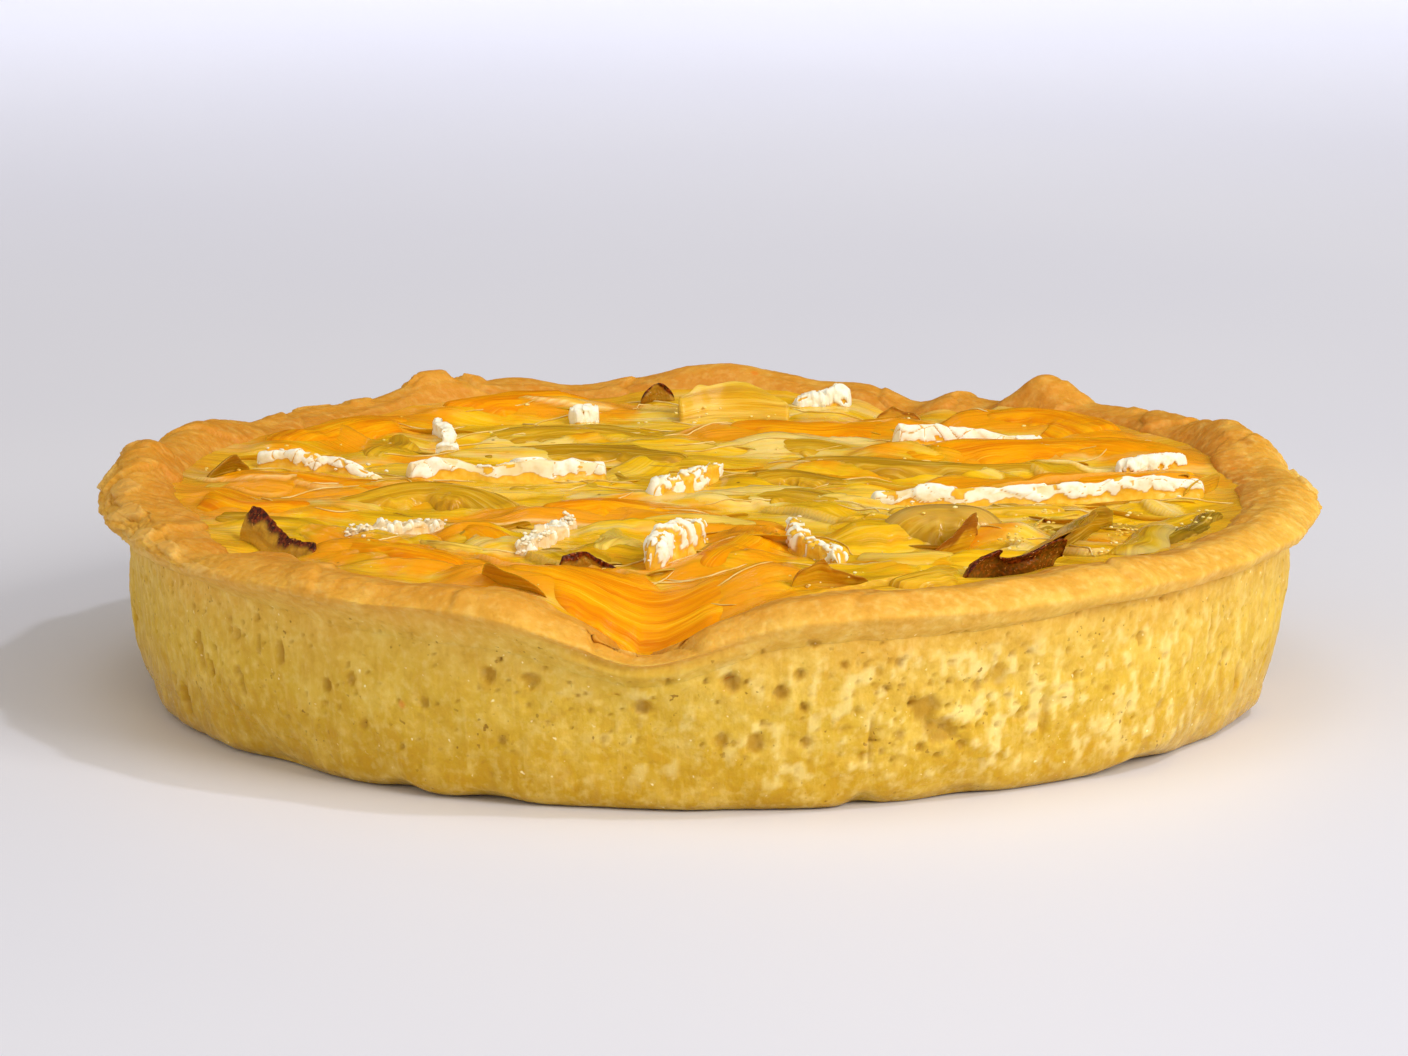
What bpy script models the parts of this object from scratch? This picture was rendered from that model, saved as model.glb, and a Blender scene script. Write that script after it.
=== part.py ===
"""A savoury tart, turned out of its tin: a pastry shell full of baked custard, and on it
pumpkin slices, leek layers and slices of white-rind cheese.

The origin is the middle of the flat underside, +Z is up and -Y is the front. Sizes are in
millimetres until they reach a mesh, which is in metres. Angles go round the tart in degrees,
0 at the right (+X), 90 at the back and 270 at the front.
"""

import math

import bmesh
import bpy
from mathutils import Vector, noise

MM = 0.001
GAP = 0.3  # between pieces that touch

# Pastry shell
SECTORS = 120
FOOT_RADIUS = 90.5
WALL_RADIUS = 94.0
LIP_HEIGHT = 28.8  # underside of the folded rim
LIP_RADIUS = 98.6
CREST_RADIUS = 92.6
CREST_HEIGHT = 33.6
INNER_RADIUS = 88.0
INNER_FOOT_RADIUS = 83.0
INNER_CORNER = 3.0
INNER_WALL_STRAIGHT = 26.0  # the inner wall no longer widens above this height
FLOOR_THICKNESS = 5.0
UNDERSIDE_RADIUS = 86.0
FOOT_TOP = 2.4  # where the rounded foot ends and the wall begins
BELLY_HEIGHT = 8.0
MIDDLE_HEIGHT = 16.0

# The rim's own rises and dips: angle, half width in degrees, height in millimetres
CREST_WAVES = (
    (20, 9, 3.6),
    (36, 8, 1.4),
    (50.6, 3.6, 5.0),
    (57, 3, -1.4),
    (67, 3.5, -2.8),
    (88, 8, 3.2),
    (111, 4, 1.8),
    (122, 5, 3.0),
    (156, 8, 2.8),
    (176, 9, 4.8),
    (213, 9, -1.8),
    (264, 8, -8.8),
    (312, 9, 0.7),
)
# The same for how far the rim stands out: angle, half width, millimetres
LIP_WAVES = (
    (100, 9, -1.2),
    (178, 11, 1.4),
    (200, 7, -1.4),
    (232, 6, 0.9),
    (264, 7, -2.2),
    (352, 9, 1.4),
)
# The same for the flaps of pastry that the fold leaves lying inwards over the custard
FLAP_WAVES = (
    (8, 10, 1.4),
    (75, 10, 0.8),
    (150, 12, 1.0),
    (196, 9, 1.9),
    (219, 6, 1.5),
    (300, 14, 0.9),
)
FLAP_LEAST = 0.7
# The rim is ragged all round, and most where the pastry has broken into flakes at the left
CRAG_SIZE = 0.9
CRAG_WAVES = ((190, 26, 1.1), (12, 22, 0.6), (232, 12, 0.5))
NOTCH_ANGLE = 264
NOTCH_SPREAD = 9
NOTCH_LIP_DROP = 6.0

# Custard
CUSTARD_LEVEL = 31.0
CUSTARD_BELOW_CREST = 2.2
CUSTARD_HIGHEST_EDGE = 32.6
CUSTARD_RIPPLE = 1.1
RIPPLE_LENGTHS = (17, 11)  # along X and along Y
RIPPLE_ENDS = 70  # radius from which the ripple dies away
EDGE_BEGINS = 58  # radius from which the surface bends to meet the pastry
RING_RADII = (8, 16, 24, 32, 40, 48, 56, 64, 72, 79, 84)
COARSE_RADII = (30, 60)  # a quarter of the sectors within the first, half within the second

# A topping rests on the highest point within PATCH of each of its own, and as much above that as
# a flat face can cut into the curved surface.
PATCH = 2.2
FACET_ALLOWANCE = 0.25
SECTION_LENGTH = 4.5
FEWEST_SECTIONS = 4
MOST_SECTIONS = 11

# Toppings. A spine runs along the middle of a piece, as seen from above. Lean is how far the
# top is pushed sideways for each millimetre of height, crown how much thinner the sides are
# than the middle, and fall how much lower the far end is.
PUMPKIN = {
    "pumpkin_front": dict(spine=((-31, -68), (-19, -73), (-6, -75), (6, -72)), width=17.0, thick=4.4),
    "pumpkin_beside_cheese": dict(spine=((-1, -65), (3, -57), (6, -49), (7, -39)), width=9.6, thick=3.6),
    "pumpkin_left_upper": dict(spine=((-72, 4), (-61, 0), (-49, 0)), width=11.5, thick=3.6),
    "pumpkin_left_edge": dict(spine=((-80, -10), (-73, -18), (-63, -18)), width=11.0, thick=3.0),
    "pumpkin_front_left": dict(spine=((-56, -50), (-47, -57), (-37, -61)), width=11.0, thick=3.4),
    "pumpkin_small": dict(spine=((-38, -37), (-35, -42), (-32, -47)), width=8.0, thick=3.2),
    "pumpkin_middle": dict(spine=((-27, -20), (-16, -17), (-5, -20)), width=11.0, thick=3.0),
    "pumpkin_right_back": dict(spine=((31, 26), (46, 30), (62, 31), (77, 22)), width=13.5, thick=4.0),
    "pumpkin_right_rim": dict(spine=((47, 57), (59, 54), (68, 42)), width=11.0, thick=3.6),
    "pumpkin_back_left": dict(spine=((-72, 33), (-64, 47), (-52, 59)), width=12.0, thick=3.4),
    "pumpkin_back_rim": dict(spine=((-46, 66), (-34, 73), (-20, 76)), width=9.0, thick=3.0),
    "pumpkin_back_middle": dict(spine=((3, 53), (17, 50), (31, 57)), width=12.0, thick=3.2),
    "pumpkin_right_edge": dict(spine=((57, 6), (69, 6), (80, 7)), width=7.5, thick=2.8),
}
# A cheese slice lies flat, its rind along the front. It is highest at the rind, and the rest
# has melted down behind it.
CHEESE = {
    "cheese_left": dict(spine=((-74, 22), (-63, 18), (-53, 12)), width=9.0, thick=3.2),
    "cheese_mid_left": dict(spine=((-50, 14), (-40, 15), (-29, 14), (-17, 15)), width=11.0, thick=3.8),
    "cheese_long": dict(spine=((26, -8), (44, -9), (62, -6), (80, -4)), width=9.6, thick=4.0),
    "cheese_right_back": dict(spine=((31, 42), (40, 44), (49, 44), (57, 43)), width=8.6, thick=4.4),
}
# These cheese pieces stand on edge, with the rind up, or are loose flakes of rind.
RIND = {
    "rind_striped": dict(
        spine=((-9, -62), (-7, -54), (-4, -46), (-1, -38)), width=6.0, thick=4.6, lean=0.1
    ),
    "rind_leaf": dict(spine=((-9, -7), (-4, 1), (2, 13)), width=4.6, thick=3.4, lean=-0.4),
    "rind_curved": dict(spine=((13, -31), (14, -42), (16, -53), (20, -62)), width=3.8, thick=3.2, lean=0.3),
    "rind_lace_slant": dict(spine=((-29, -52), (-25, -40), (-22, -28)), width=5.0, thick=2.6, lean=-0.3),
    "rind_lace_flat": dict(spine=((-57, -37), (-50, -34), (-42, -29)), width=5.0, thick=2.0, lean=-0.2),
    "rind_flake_right": dict(spine=((67, 14), (73, 15), (79, 16)), width=3.6, thick=2.0, lean=-0.2),
    "rind_flake_square": dict(spine=((-24, 64), (-22, 65), (-19, 65)), width=3.4, thick=3.0, lean=-0.4),
    "rind_flake_left": dict(spine=((-47, 50), (-45, 46), (-44, 42)), width=3.4, thick=3.0, lean=-0.3),
    "rind_flake_low": dict(spine=((-46, 34), (-44, 34), (-42, 34)), width=3.0, thick=2.2, lean=-0.2),
    "rind_flake_back": dict(spine=((15, 76), (20, 78), (25, 77)), width=3.8, thick=3.2, lean=-0.4),
}
LEEK = {
    "leek_bulb": dict(spine=((27, -38), (34, -35), (42, -37), (45, -44)), width=15.0, thick=5.8, crown=0.8),
    "leek_burnt_curl": dict(
        spine=((39, -72), (44, -67), (49, -68), (54, -62)), width=4.0, thick=5.2, lean=0.2
    ),
    "leek_fold_right": dict(spine=((51, -57), (55, -46), (58, -33)), width=6.4, thick=4.6, lean=-0.3),
    "leek_sheet_right": dict(spine=((60, -51), (65, -40), (68, -28)), width=5.6, thick=3.6, lean=-0.3),
    "leek_green_edge": dict(spine=((69, -46), (75, -36), (80, -22)), width=5.8, thick=2.2),
    "leek_hood_front": dict(
        spine=((12, -78), (17, -75), (24, -74)), width=6.4, thick=5.4, lean=-0.3, fall=0.7
    ),
    "leek_strands_front": dict(spine=((27, -77), (33, -73), (37, -65)), width=7.0, thick=2.0),
    "leek_brown_tip": dict(spine=((-23, -62), (-18, -60), (-14, -62)), width=3.4, thick=4.4, lean=-0.3),
    "leek_brown_edge_left": dict(
        spine=((-73, -36), (-68, -44), (-61, -53)), width=2.6, thick=4.8, lean=0.3, fall=0.6
    ),
    "leek_olive_point": dict(spine=((-82, 3), (-79, 10), (-76, 13)), width=5.0, thick=3.8, lean=-0.2),
    "leek_brown_back": dict(spine=((29, 70), (33, 70), (37, 67)), width=3.4, thick=3.6, lean=-0.3),
    "leek_brown_back_left": dict(spine=((-12, 79), (-9, 80), (-6, 80)), width=3.0, thick=3.8, lean=-0.2),
    "leek_standing_sheet": dict(spine=((-5, 64), (4, 68), (14, 67)), width=6.0, thick=6.0, lean=-0.5),
    "leek_fold_left": dict(
        spine=((-60, -15), (-49, -8), (-38, -9), (-31, -17)), width=10.0, thick=2.6, crown=0.7
    ),
    "leek_fold_back_right": dict(
        spine=((14, 24), (26, 18), (40, 15), (58, 18)), width=8.0, thick=2.4, crown=0.7
    ),
    "leek_ribbon_middle": dict(spine=((1, -9), (11, -5), (21, -14)), width=10.0, thick=1.8),
    "leek_ribbon_back": dict(spine=((-38, 45), (-22, 50), (-6, 45)), width=13.0, thick=1.8),
    "leek_ribbon_centre": dict(spine=((-39, 29), (-21, 32), (-3, 27)), width=12.0, thick=1.8),
    "leek_ribbon_left": dict(spine=((-64, -29), (-71, -28), (-78, -25)), width=5.6, thick=1.6),
    "leek_ribbon_low": dict(spine=((-44, -44), (-41, -50), (-34, -52)), width=4.0, thick=1.6),
    "leek_ribbon_right": dict(spine=((28, -22), (42, -20), (57, -20)), width=8.0, thick=2.0),
    "leek_round_centre": dict(spine=((7, 8), (16, 9), (24, 4)), width=11.0, thick=1.8),
    "leek_ribbon_left_back": dict(spine=((-57, 26), (-53, 36), (-53, 45)), width=8.0, thick=1.8),
    "leek_ribbon_low_middle": dict(spine=((-16, -34), (-14, -43), (-17, -52)), width=7.0, thick=1.8),
    "leek_ribbon_near_middle": dict(spine=((-11, -31), (-1, -29), (8, -31)), width=7.0, thick=1.8),
    "leek_ribbon_right_low": dict(spine=((23, -55), (30, -60), (38, -57)), width=8.0, thick=2.0),
    "leek_ribbon_back_right": dict(spine=((12, 38), (19, 37), (26, 34)), width=10.0, thick=1.8),
}

COLOURS = {  # base colour, roughness
    "pastry": ((0.80, 0.58, 0.27), 0.62),
    "custard": ((0.80, 0.58, 0.17), 0.35),
    "pumpkin": ((0.86, 0.43, 0.03), 0.30),
    "cheese": ((0.86, 0.82, 0.66), 0.50),
    "leek": ((0.70, 0.56, 0.14), 0.32),
    "leek_browned": ((0.30, 0.09, 0.03), 0.40),
}
BROWNED = ("leek_burnt_curl", "leek_brown_tip", "leek_brown_edge_left", "leek_brown_back_left")


def material(name):
    """A plain material of that name."""
    colour, roughness = COLOURS[name]
    made = bpy.data.materials.new(name)
    made.use_nodes = True
    shader = made.node_tree.nodes["Principled BSDF"]
    shader.inputs["Base Color"].default_value = (*colour, 1.0)
    shader.inputs["Roughness"].default_value = roughness
    shader.inputs["Metallic"].default_value = 0.0
    return made


def smoothstep(low, high, value):
    """0 below low, 1 above high, and a smooth climb between them."""
    t = min(1.0, max(0.0, (value - low) / (high - low)))
    return t * t * (3 - 2 * t)


def waves_at(angle, waves):
    """The sum of the bumps in waves at this angle."""
    total = 0.0
    for centre, spread, height in waves:
        away = (angle - centre + 180) % 360 - 180
        total += height * math.exp(-((away / spread) ** 2))
    return total


def uneven(angle, size, seed, steps=5):
    """A smooth unevenness of up to about size that closes on itself round the tart, with a bump
    about every 57 / steps degrees."""
    turn = math.radians(angle)
    return size * noise.noise(Vector((steps * math.cos(turn), steps * math.sin(turn), seed)))


def crag(angle, seed):
    """The ragged part of the rim's unevenness."""
    return uneven(angle, CRAG_SIZE * (1 + waves_at(angle, CRAG_WAVES)), seed, steps=12)


def crest_height(angle):
    return CREST_HEIGHT + waves_at(angle, CREST_WAVES) + uneven(angle, 0.9, 1.0) + 0.5 * crag(angle, 7.0)


def lip_height(angle):
    notch = waves_at(angle, ((NOTCH_ANGLE, NOTCH_SPREAD, -NOTCH_LIP_DROP),))
    return LIP_HEIGHT + notch + uneven(angle, 0.5, 2.0)


def lip_radius(angle):
    return LIP_RADIUS + waves_at(angle, LIP_WAVES) + uneven(angle, 1.2, 3.0) + crag(angle, 8.0)


def flap_radius(angle):
    """How far in the folded pastry reaches over the custard."""
    return INNER_RADIUS - FLAP_LEAST - waves_at(angle, FLAP_WAVES) + 0.4 * crag(angle, 9.0)


def custard_edge(angle):
    """Height of the custard where it meets the pastry."""
    return min(CUSTARD_HIGHEST_EDGE, crest_height(angle) - CUSTARD_BELOW_CREST)


def custard_height(x, y):
    """Height of the custard's surface at a point of the plan."""
    radius = math.hypot(x, y)
    angle = math.degrees(math.atan2(y, x)) % 360
    ripple = CUSTARD_RIPPLE * noise.noise(Vector((x / RIPPLE_LENGTHS[0], y / RIPPLE_LENGTHS[1], 4.0)))
    ripple *= 1 - smoothstep(RIPPLE_ENDS, INNER_RADIUS, radius)
    toward_edge = smoothstep(EDGE_BEGINS, INNER_RADIUS, radius)
    return CUSTARD_LEVEL + ripple + (custard_edge(angle) - CUSTARD_LEVEL) * toward_edge


def inner_radius_at(z):
    """Radius of the shell's inner wall at a height above its rounded corner."""
    climbed = smoothstep(FLOOR_THICKNESS, INNER_WALL_STRAIGHT, z)
    return INNER_FOOT_RADIUS + (INNER_RADIUS - INNER_FOOT_RADIUS) * climbed


def shell_profile(angle):
    """(radius, height) of the shell's section, from the underside up the wall, over the rim
    and down inside to the floor."""
    crest = crest_height(angle)
    lip = lip_height(angle)
    out = lip_radius(angle)
    wobble = uneven(angle, 1.0, 6.0)
    foot = FOOT_RADIUS + uneven(angle, 1.6, 5.0)
    rim_height = crest - lip
    edge = custard_edge(angle)
    return (
        (UNDERSIDE_RADIUS, 0.0),
        (foot - 1.6, 0.4),
        (foot, FOOT_TOP),
        (FOOT_RADIUS + 1.4 + wobble, BELLY_HEIGHT),
        (WALL_RADIUS - 0.9 + wobble, MIDDLE_HEIGHT),
        (WALL_RADIUS - 0.2, lip - 4.0),
        (WALL_RADIUS, lip - 0.9),
        (WALL_RADIUS + 1.2, lip),
        (out - 0.9, lip + 0.3),
        (out, lip + 0.25 * rim_height + 0.5),
        (out - 1.2 + 0.6 * crag(angle, 10.0), lip + 0.62 * rim_height),
        (out - 3.4, lip + 0.88 * rim_height + 0.4 * crag(angle, 11.0)),
        (CREST_RADIUS, crest),
        (90.4, crest - 0.5),
        (88.7, crest - 1.0),
        (flap_radius(angle), edge + 1.2),
        (flap_radius(angle) + 0.1, edge + 0.5),
        (INNER_RADIUS, edge + 0.2),
        (INNER_RADIUS, edge - 0.6),
        (inner_radius_at(MIDDLE_HEIGHT), MIDDLE_HEIGHT),
        (INNER_FOOT_RADIUS, BELLY_HEIGHT),
        (INNER_FOOT_RADIUS - INNER_CORNER, FLOOR_THICKNESS),
    )


def point_at(angle, radius, z):
    turn = math.radians(angle)
    return Vector((radius * math.cos(turn), radius * math.sin(turn), z)) * MM


def bridge(bm, lower, upper):
    """Faces between two rings of points that go round the tart, the upper with as many points as
    the lower or twice as many."""
    count = len(lower)
    step = len(upper) // count
    for i in range(count):
        a, b = lower[i], lower[(i + 1) % count]
        c, d = upper[step * i], upper[step * (i + 1) % len(upper)]
        if step == 1:
            bm.faces.new((a, b, d, c))
            continue
        middle = upper[step * i + 1]
        bm.faces.new((a, middle, c))
        bm.faces.new((a, b, middle))
        bm.faces.new((b, d, middle))


def fan(bm, ring, centre):
    for i, point in enumerate(ring):
        bm.faces.new((centre, ring[(i + 1) % len(ring)], point))


def finish(bm, name, finish_name):
    """Turns the faces outwards and makes a named object of the mesh."""
    bmesh.ops.recalc_face_normals(bm, faces=bm.faces)
    mesh = bpy.data.meshes.new(name)
    bm.to_mesh(mesh)
    bm.free()
    mesh.materials.append(MATERIALS[finish_name])
    mesh.shade_smooth()
    mesh.set_sharp_from_angle(angle=math.radians(40))
    made = bpy.data.objects.new(name, mesh)
    bpy.context.scene.collection.objects.link(made)
    made.parent = TART
    return made


def ring_angles(count):
    return [360 * i / count for i in range(count)]


def make_shell():
    """The pastry shell: one closed skin swept round from a section that changes with the angle."""
    bm = bmesh.new()
    sections = [(angle, shell_profile(angle)) for angle in ring_angles(SECTORS)]
    rings = [
        [bm.verts.new(point_at(angle, *profile[level])) for angle, profile in sections]
        for level in range(len(sections[0][1]))
    ]
    for lower, upper in zip(rings, rings[1:]):
        bridge(bm, lower, upper)
    fan(bm, rings[0], bm.verts.new((0, 0, 0)))
    fan(bm, rings[-1], bm.verts.new((0, 0, FLOOR_THICKNESS * MM)))
    return finish(bm, "pastry_shell", "pastry")


def sectors_for(radius):
    """Fewer points in the inner rings, each count half the next."""
    if radius < COARSE_RADII[0]:
        return SECTORS // 4
    return SECTORS // 2 if radius < COARSE_RADII[1] else SECTORS


def make_custard():
    """The custard fills the shell to its surface."""
    bm = bmesh.new()
    rings = []
    for radius in RING_RADII:
        ring = []
        for angle in ring_angles(sectors_for(radius)):
            turn = math.radians(angle)
            height = custard_height(radius * math.cos(turn), radius * math.sin(turn))
            ring.append(bm.verts.new(point_at(angle, radius, height)))
        rings.append(ring)
    angles = ring_angles(SECTORS)
    rings.append([bm.verts.new(point_at(a, INNER_RADIUS - GAP, custard_edge(a) - 0.4)) for a in angles])
    for radius, z in (
        (inner_radius_at(MIDDLE_HEIGHT) - GAP, MIDDLE_HEIGHT),
        (INNER_FOOT_RADIUS - GAP, BELLY_HEIGHT + GAP),
        (INNER_FOOT_RADIUS - INNER_CORNER - GAP, FLOOR_THICKNESS + GAP),
    ):
        rings.append([bm.verts.new(point_at(a, radius, z)) for a in angles])
    for lower, upper in zip(rings, rings[1:]):
        bridge(bm, lower, upper)
    fan(bm, rings[0], bm.verts.new((0, 0, custard_height(0, 0) * MM)))
    fan(bm, rings[-1], bm.verts.new((0, 0, (FLOOR_THICKNESS + GAP) * MM)))
    return finish(bm, "custard_filling", "custard")


def along(spine, t):
    """A point at share t of the smooth curve through the spine's points."""
    points = [Vector(p) for p in spine]
    points = [2 * points[0] - points[1], *points, 2 * points[-1] - points[-2]]
    spans = len(points) - 3
    i = min(int(t * spans), spans - 1)
    u = t * spans - i
    a, b, c, d = points[i : i + 4]
    return 0.5 * (
        2 * b + (c - a) * u + (2 * a - 5 * b + 4 * c - d) * u * u + (3 * b - 3 * c + d - a) * u**3
    )


def rest_height(x, y):
    """The lowest height at which a small flat patch there clears the custard."""
    around = ((0, 0), (PATCH, 0), (-PATCH, 0), (0, PATCH), (0, -PATCH))
    return max(custard_height(x + dx, y + dy) for dx, dy in around) + GAP + FACET_ALLOWANCE


def length_of(spine):
    return sum(math.dist(a, b) for a, b in zip(spine, spine[1:]))


def make_topping(name, finish_name, form, across, ends, thickness_across):
    """A piece that lies along its spine on the custard.

    across is how many strips it has over its width, ends how blunt its ends are, from 0 for
    points, and thickness_across gives the share of its thickness from -1, its right side, to 1.
    """
    spine = form["spine"]
    sections = round(length_of(spine) / SECTION_LENGTH)
    sections = max(FEWEST_SECTIONS, min(MOST_SECTIONS, sections))
    lean = form.get("lean", 0.0)
    fall = form.get("fall", 0.0)
    bm = bmesh.new()
    bottom, top = [], []
    for i in range(sections + 1):
        t = i / sections
        middle = along(spine, t)
        ahead = (along(spine, min(1, t + 0.01)) - along(spine, max(0, t - 0.01))).normalized()
        side = Vector((-ahead.y, ahead.x))
        fullness = ends + (1 - ends) * math.sin(math.pi * t) ** 0.6
        half = 0.5 * form["width"] * fullness
        bottom_row, top_row = [], []
        for j in range(across + 1):
            v = -1 + 2 * j / across
            place = middle + side * (half * v)
            z = rest_height(*place)
            tall = form["thick"] * (0.35 + 0.65 * fullness) * (1 - fall * t) * thickness_across(v)
            shifted = place + side * (lean * tall)
            bottom_row.append(bm.verts.new((place.x * MM, place.y * MM, z * MM)))
            top_row.append(bm.verts.new((shifted.x * MM, shifted.y * MM, (z + tall) * MM)))
        bottom.append(bottom_row)
        top.append(top_row)
    for rows in (bottom, top):
        for low, high in zip(rows, rows[1:]):
            for j in range(across):
                bm.faces.new((low[j], low[j + 1], high[j + 1], high[j]))
    for j in (0, across):
        for i in range(sections):
            bm.faces.new((bottom[i][j], bottom[i + 1][j], top[i + 1][j], top[i][j]))
    for i in (0, sections):
        for j in range(across):
            bm.faces.new((bottom[i][j], bottom[i][j + 1], top[i][j + 1], top[i][j]))
    return finish(bm, name, finish_name)


def domed(crown):
    """Thickest in the middle, and thinner by the share crown at both sides."""
    return lambda v: 1 - crown * v * v


def melted(v):
    """Full height at the rind, on the right of the spine, and thin at the other side."""
    return 0.28 + 0.72 * (1 - smoothstep(-0.9, 0.9, v))


def make_toppings():
    for name, form in PUMPKIN.items():
        make_topping(name, "pumpkin", form, across=4, ends=0.30, thickness_across=domed(0.55))
    for name, form in CHEESE.items():
        make_topping(name, "cheese", form, across=3, ends=0.75, thickness_across=melted)
    for name, form in RIND.items():
        make_topping(name, "cheese", form, across=2, ends=0.45, thickness_across=domed(0.12))
    for name, form in LEEK.items():
        finish_name = "leek_browned" if name in BROWNED else "leek"
        profile = domed(form.get("crown", 0.3))
        make_topping(name, finish_name, form, across=3, ends=0.35, thickness_across=profile)


for old in list(bpy.data.objects):
    bpy.data.objects.remove(old)
TART = bpy.data.objects.new("tart", None)
bpy.context.scene.collection.objects.link(TART)
MATERIALS = {name: material(name) for name in COLOURS}
make_shell()
make_custard()
make_toppings()
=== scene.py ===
"""Looks of a savoury tart, out of its tin: the shortcrust shell, the baked custard and, on it,
roast pumpkin, leek and slices of white-rind cheese.

Shapes are worked out in millimetres and put into the meshes in metres. Angles go round the tart
in degrees, 0 at the right (+X), 90 at the back and 270 at the front.
"""

import math

import bpy
import numpy as np
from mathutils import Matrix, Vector, noise


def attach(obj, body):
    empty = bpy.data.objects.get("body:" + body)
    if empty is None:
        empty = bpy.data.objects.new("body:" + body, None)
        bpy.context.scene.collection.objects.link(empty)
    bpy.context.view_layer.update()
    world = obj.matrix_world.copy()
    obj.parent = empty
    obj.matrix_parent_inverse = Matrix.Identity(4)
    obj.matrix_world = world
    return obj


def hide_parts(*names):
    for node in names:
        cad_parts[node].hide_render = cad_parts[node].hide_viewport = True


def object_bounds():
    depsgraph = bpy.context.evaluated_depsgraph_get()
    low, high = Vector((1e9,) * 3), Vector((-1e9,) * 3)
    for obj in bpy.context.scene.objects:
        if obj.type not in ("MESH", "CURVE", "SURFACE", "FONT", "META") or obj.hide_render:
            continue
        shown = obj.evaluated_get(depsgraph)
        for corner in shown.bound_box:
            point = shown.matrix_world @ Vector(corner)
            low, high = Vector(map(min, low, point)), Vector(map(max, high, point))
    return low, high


MM = 0.001
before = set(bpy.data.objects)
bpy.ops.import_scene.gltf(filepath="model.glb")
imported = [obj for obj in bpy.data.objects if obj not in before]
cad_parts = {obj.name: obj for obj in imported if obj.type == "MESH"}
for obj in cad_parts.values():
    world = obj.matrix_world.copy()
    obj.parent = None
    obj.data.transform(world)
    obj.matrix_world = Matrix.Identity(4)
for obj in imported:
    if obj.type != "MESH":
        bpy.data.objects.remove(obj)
CAD_BOX = [list(corner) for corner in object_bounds()]

# The tart's own sizes, as in the part's source
FOOT_RADIUS = 90.5
WALL_RADIUS = 94.0
LIP_HEIGHT = 28.8
LIP_RADIUS = 98.6
CREST_RADIUS = 92.6
CREST_HEIGHT = 33.6
INNER_RADIUS = 88.0
INNER_FOOT_RADIUS = 83.0
FLOOR_THICKNESS = 5.0
CUSTARD_LEVEL = 31.0
CUSTARD_HIGHEST_EDGE = 32.6
# Its waves, as bumps round it: angle, spread in degrees, size in mm (in CRAG_WAVES as a share)
CREST_WAVES = (
    (20, 9, 3.6), (36, 8, 1.4), (50.6, 3.6, 5.0), (57, 3, -1.4), (67, 3.5, -2.8), (88, 8, 3.2),
    (111, 4, 1.8), (122, 5, 3.0), (156, 8, 2.8), (176, 9, 4.8), (213, 9, -1.8), (264, 8, -8.8),
    (312, 9, 0.7),
)
LIP_WAVES = (
    (100, 9, -1.2), (178, 11, 1.4), (200, 7, -1.4), (232, 6, 0.9), (264, 7, -2.2), (352, 9, 1.4),
)
FLAP_WAVES = (
    (8, 10, 1.4), (75, 10, 0.8), (150, 12, 1.0), (196, 9, 1.9), (219, 6, 1.5), (300, 14, 0.9),
)
CRAG_WAVES = ((190, 26, 1.1), (12, 22, 0.6), (232, 12, 0.5))
NOTCH_WAVE = ((264, 9, -6.0),)

# Pumpkin and cheese slices: spine is the line a piece lies along, in mm from the middle, width and
# thick are in mm, and rise is the height along it as shares of thick.
SLICES = {
    "pumpkin_front": dict(spine=((-31, -68), (-19, -73), (-6, -75), (6, -72)), width=17.0, thick=4.4),
    "pumpkin_beside_cheese": dict(
        spine=((-1, -65), (3, -57), (6, -49), (7, -39)), width=9.6, thick=3.6,
    ),
    "pumpkin_left_upper": dict(spine=((-72, 4), (-61, 0), (-49, 0)), width=11.5, thick=3.6),
    "pumpkin_left_edge": dict(spine=((-80, -10), (-73, -18), (-63, -18)), width=11.0, thick=3.0),
    "pumpkin_front_left": dict(spine=((-56, -50), (-47, -57), (-37, -61)), width=11.0, thick=3.4),
    "pumpkin_small": dict(spine=((-38, -37), (-35, -42), (-32, -47)), width=8.0, thick=3.2),
    "pumpkin_middle": dict(spine=((-27, -20), (-16, -17), (-5, -20)), width=11.0, thick=3.0),
    "pumpkin_right_back": dict(spine=((31, 26), (46, 30), (62, 31), (77, 22)), width=13.5, thick=4.0),
    "pumpkin_right_rim": dict(spine=((47, 57), (59, 54), (68, 42)), width=11.0, thick=3.6),
    "pumpkin_back_left": dict(spine=((-72, 33), (-64, 47), (-52, 59)), width=12.0, thick=3.4),
    "pumpkin_back_rim": dict(spine=((-46, 66), (-34, 73), (-20, 76)), width=9.0, thick=3.0),
    "pumpkin_back_middle": dict(spine=((3, 53), (17, 50), (31, 57)), width=12.0, thick=3.2),
    "pumpkin_right_edge": dict(spine=((57, 6), (69, 6), (80, 7)), width=7.5, thick=2.8),
}
CHEESES = {
    "cheese_left": dict(
        spine=((-74, 22), (-63, 18), (-53, 12)), width=9.0, thick=3.0, rise=(0.5, 0.9, 1, 0.8, 0.3),
    ),
    "cheese_mid_left": dict(
        spine=((-50, 14), (-40, 15), (-29, 14), (-17, 15)), width=11.0, thick=3.8,
        rise=(0.9, 1, 0.7, 0.95, 0.9, 0.8),
    ),
    "cheese_long": dict(
        spine=((26, -8), (44, -9), (62, -6), (80, -4)), width=9.6, thick=4.0,
        rise=(0.5, 0.75, 0.8, 0.85, 0.95, 1, 0.7),
    ),
    "cheese_right_back": dict(
        spine=((31, 42), (40, 44), (49, 44), (57, 43)), width=8.6, thick=4.4,
        rise=(1, 0.95, 0.7, 0.5, 0.35),
    ),
}
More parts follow.
